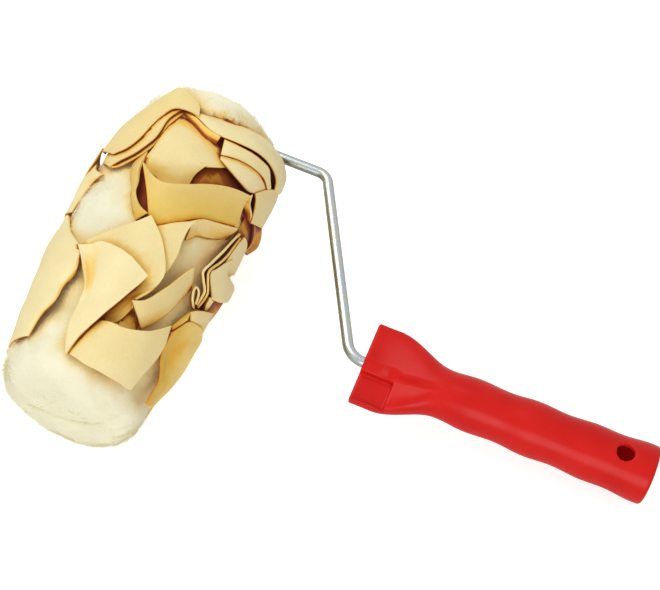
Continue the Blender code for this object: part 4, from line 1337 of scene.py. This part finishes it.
# %% Fibres grown
places, blades, heights, shades, depths, facings = [], [], [], [], [], []
for root, normal, tucked, chances, spreads in fibre_roots():
    fibre = grow_fibre(root, normal, chances, spreads)
    if fibre is None:
        continue
    start, middle, tip = fibre
    if min(place.z for place in fibre) < above_table or tip.x - axle_point.x < fibre_stop:
        continue
    flat_way = normal + Vector(spreads[3:]) * 0.25
    side = (tip - start).cross(flat_way).normalized() * fibre_width / 2.0
    base = len(places)
    places += [start - side, start + side, middle - side * 0.8, middle + side * 0.8, tip]
    blades += [(base, base + 1, base + 3), (base, base + 3, base + 2), (base + 2, base + 3, base + 4)]
    heights += [0.0, 0.0, 0.55, 0.55, 1.0]
    # painted shade near leather
    nearest_leather = leather_tree.find_nearest(middle, painted_shade_reach)[3]
    shades += [0.0 if nearest_leather is None else 1.0 - nearest_leather / painted_shade_reach] * 5
    depths += [tucked] * 5
    facings += [tuple(normal)] * 5
fibres_count = len(places) // 5
most_triangles = 190000
parts_count = math.ceil(len(blades) / most_triangles)
per_part = math.ceil(fibres_count / parts_count)
for part in range(parts_count):
    first, last = part * per_part, min(fibres_count, (part + 1) * per_part)
    mesh = bpy.data.meshes.new("fleece_fibres")
    mesh.from_pydata([tuple(place) for place in places[first * 5:last * 5]], [],
                     [tuple(index - first * 5 for index in blade) for blade in blades[first * 3:last * 3]])
    fibres = bpy.data.objects.new("fleece_fibres", mesh)
    bpy.context.scene.collection.objects.link(fibres)
    for name, values in (("along_fibre", heights), ("painted_shade_by_leather", shades), ("tucked", depths)):
        set_values(fibres, name, values[first * 5:last * 5])
    mesh.polygons.foreach_set("use_smooth", [True] * len(mesh.polygons))
    mesh.normals_split_custom_set_from_vertices(facings[first * 5:last * 5])
    finish_piece(fibres, f"fleece_fibres_{part + 1}", "roller", "cream_fleece", [fleece_fibre])
    fibres.visible_shadow = False
    fibres.visible_diffuse = False
print("fibres:", fibres_count, "in", parts_count, "pieces")

# %% [markdown]
# The strips are measured last, because the pile covers them too. Each point looks out from the
# broad side it belongs to, not from the cut edge. A side that stands up from the cover gets a little
# more painted shade than one that lies flat, as it is turned from the light above.

# %% How deep the leather is tucked in, for its painted shade
cover_tree = tree_of(leather_pieces + [sleeve])
# painted shade on sides that stand up from the cover
side_painted_shade_share = 0.05
for strip in leather_pieces:
    normals = [Vector() for vertex in strip.data.vertices]
    for face in strip.data.polygons:
        if face.material_index == 0:
            for index in face.vertices:
                normals[index] += face.normal * face.area
    depths = []
    linings = strip.data.attributes["lining"].data
    for vertex, normal, lining in zip(strip.data.vertices, normals, linings):
        normal = normal.normalized()
        outward = (vertex.co - Vector((vertex.co.x, axle_point.y, axle_point.z))).normalized()
        upright = side_painted_shade_share * (1.0 - abs(normal.dot(outward)))
        depths.append(painted_shade_at(cover_tree, vertex.co, normal) + upright + lining.value)
    set_values(strip, "tucked", depths)
print("strips measured:", len(leather_pieces))
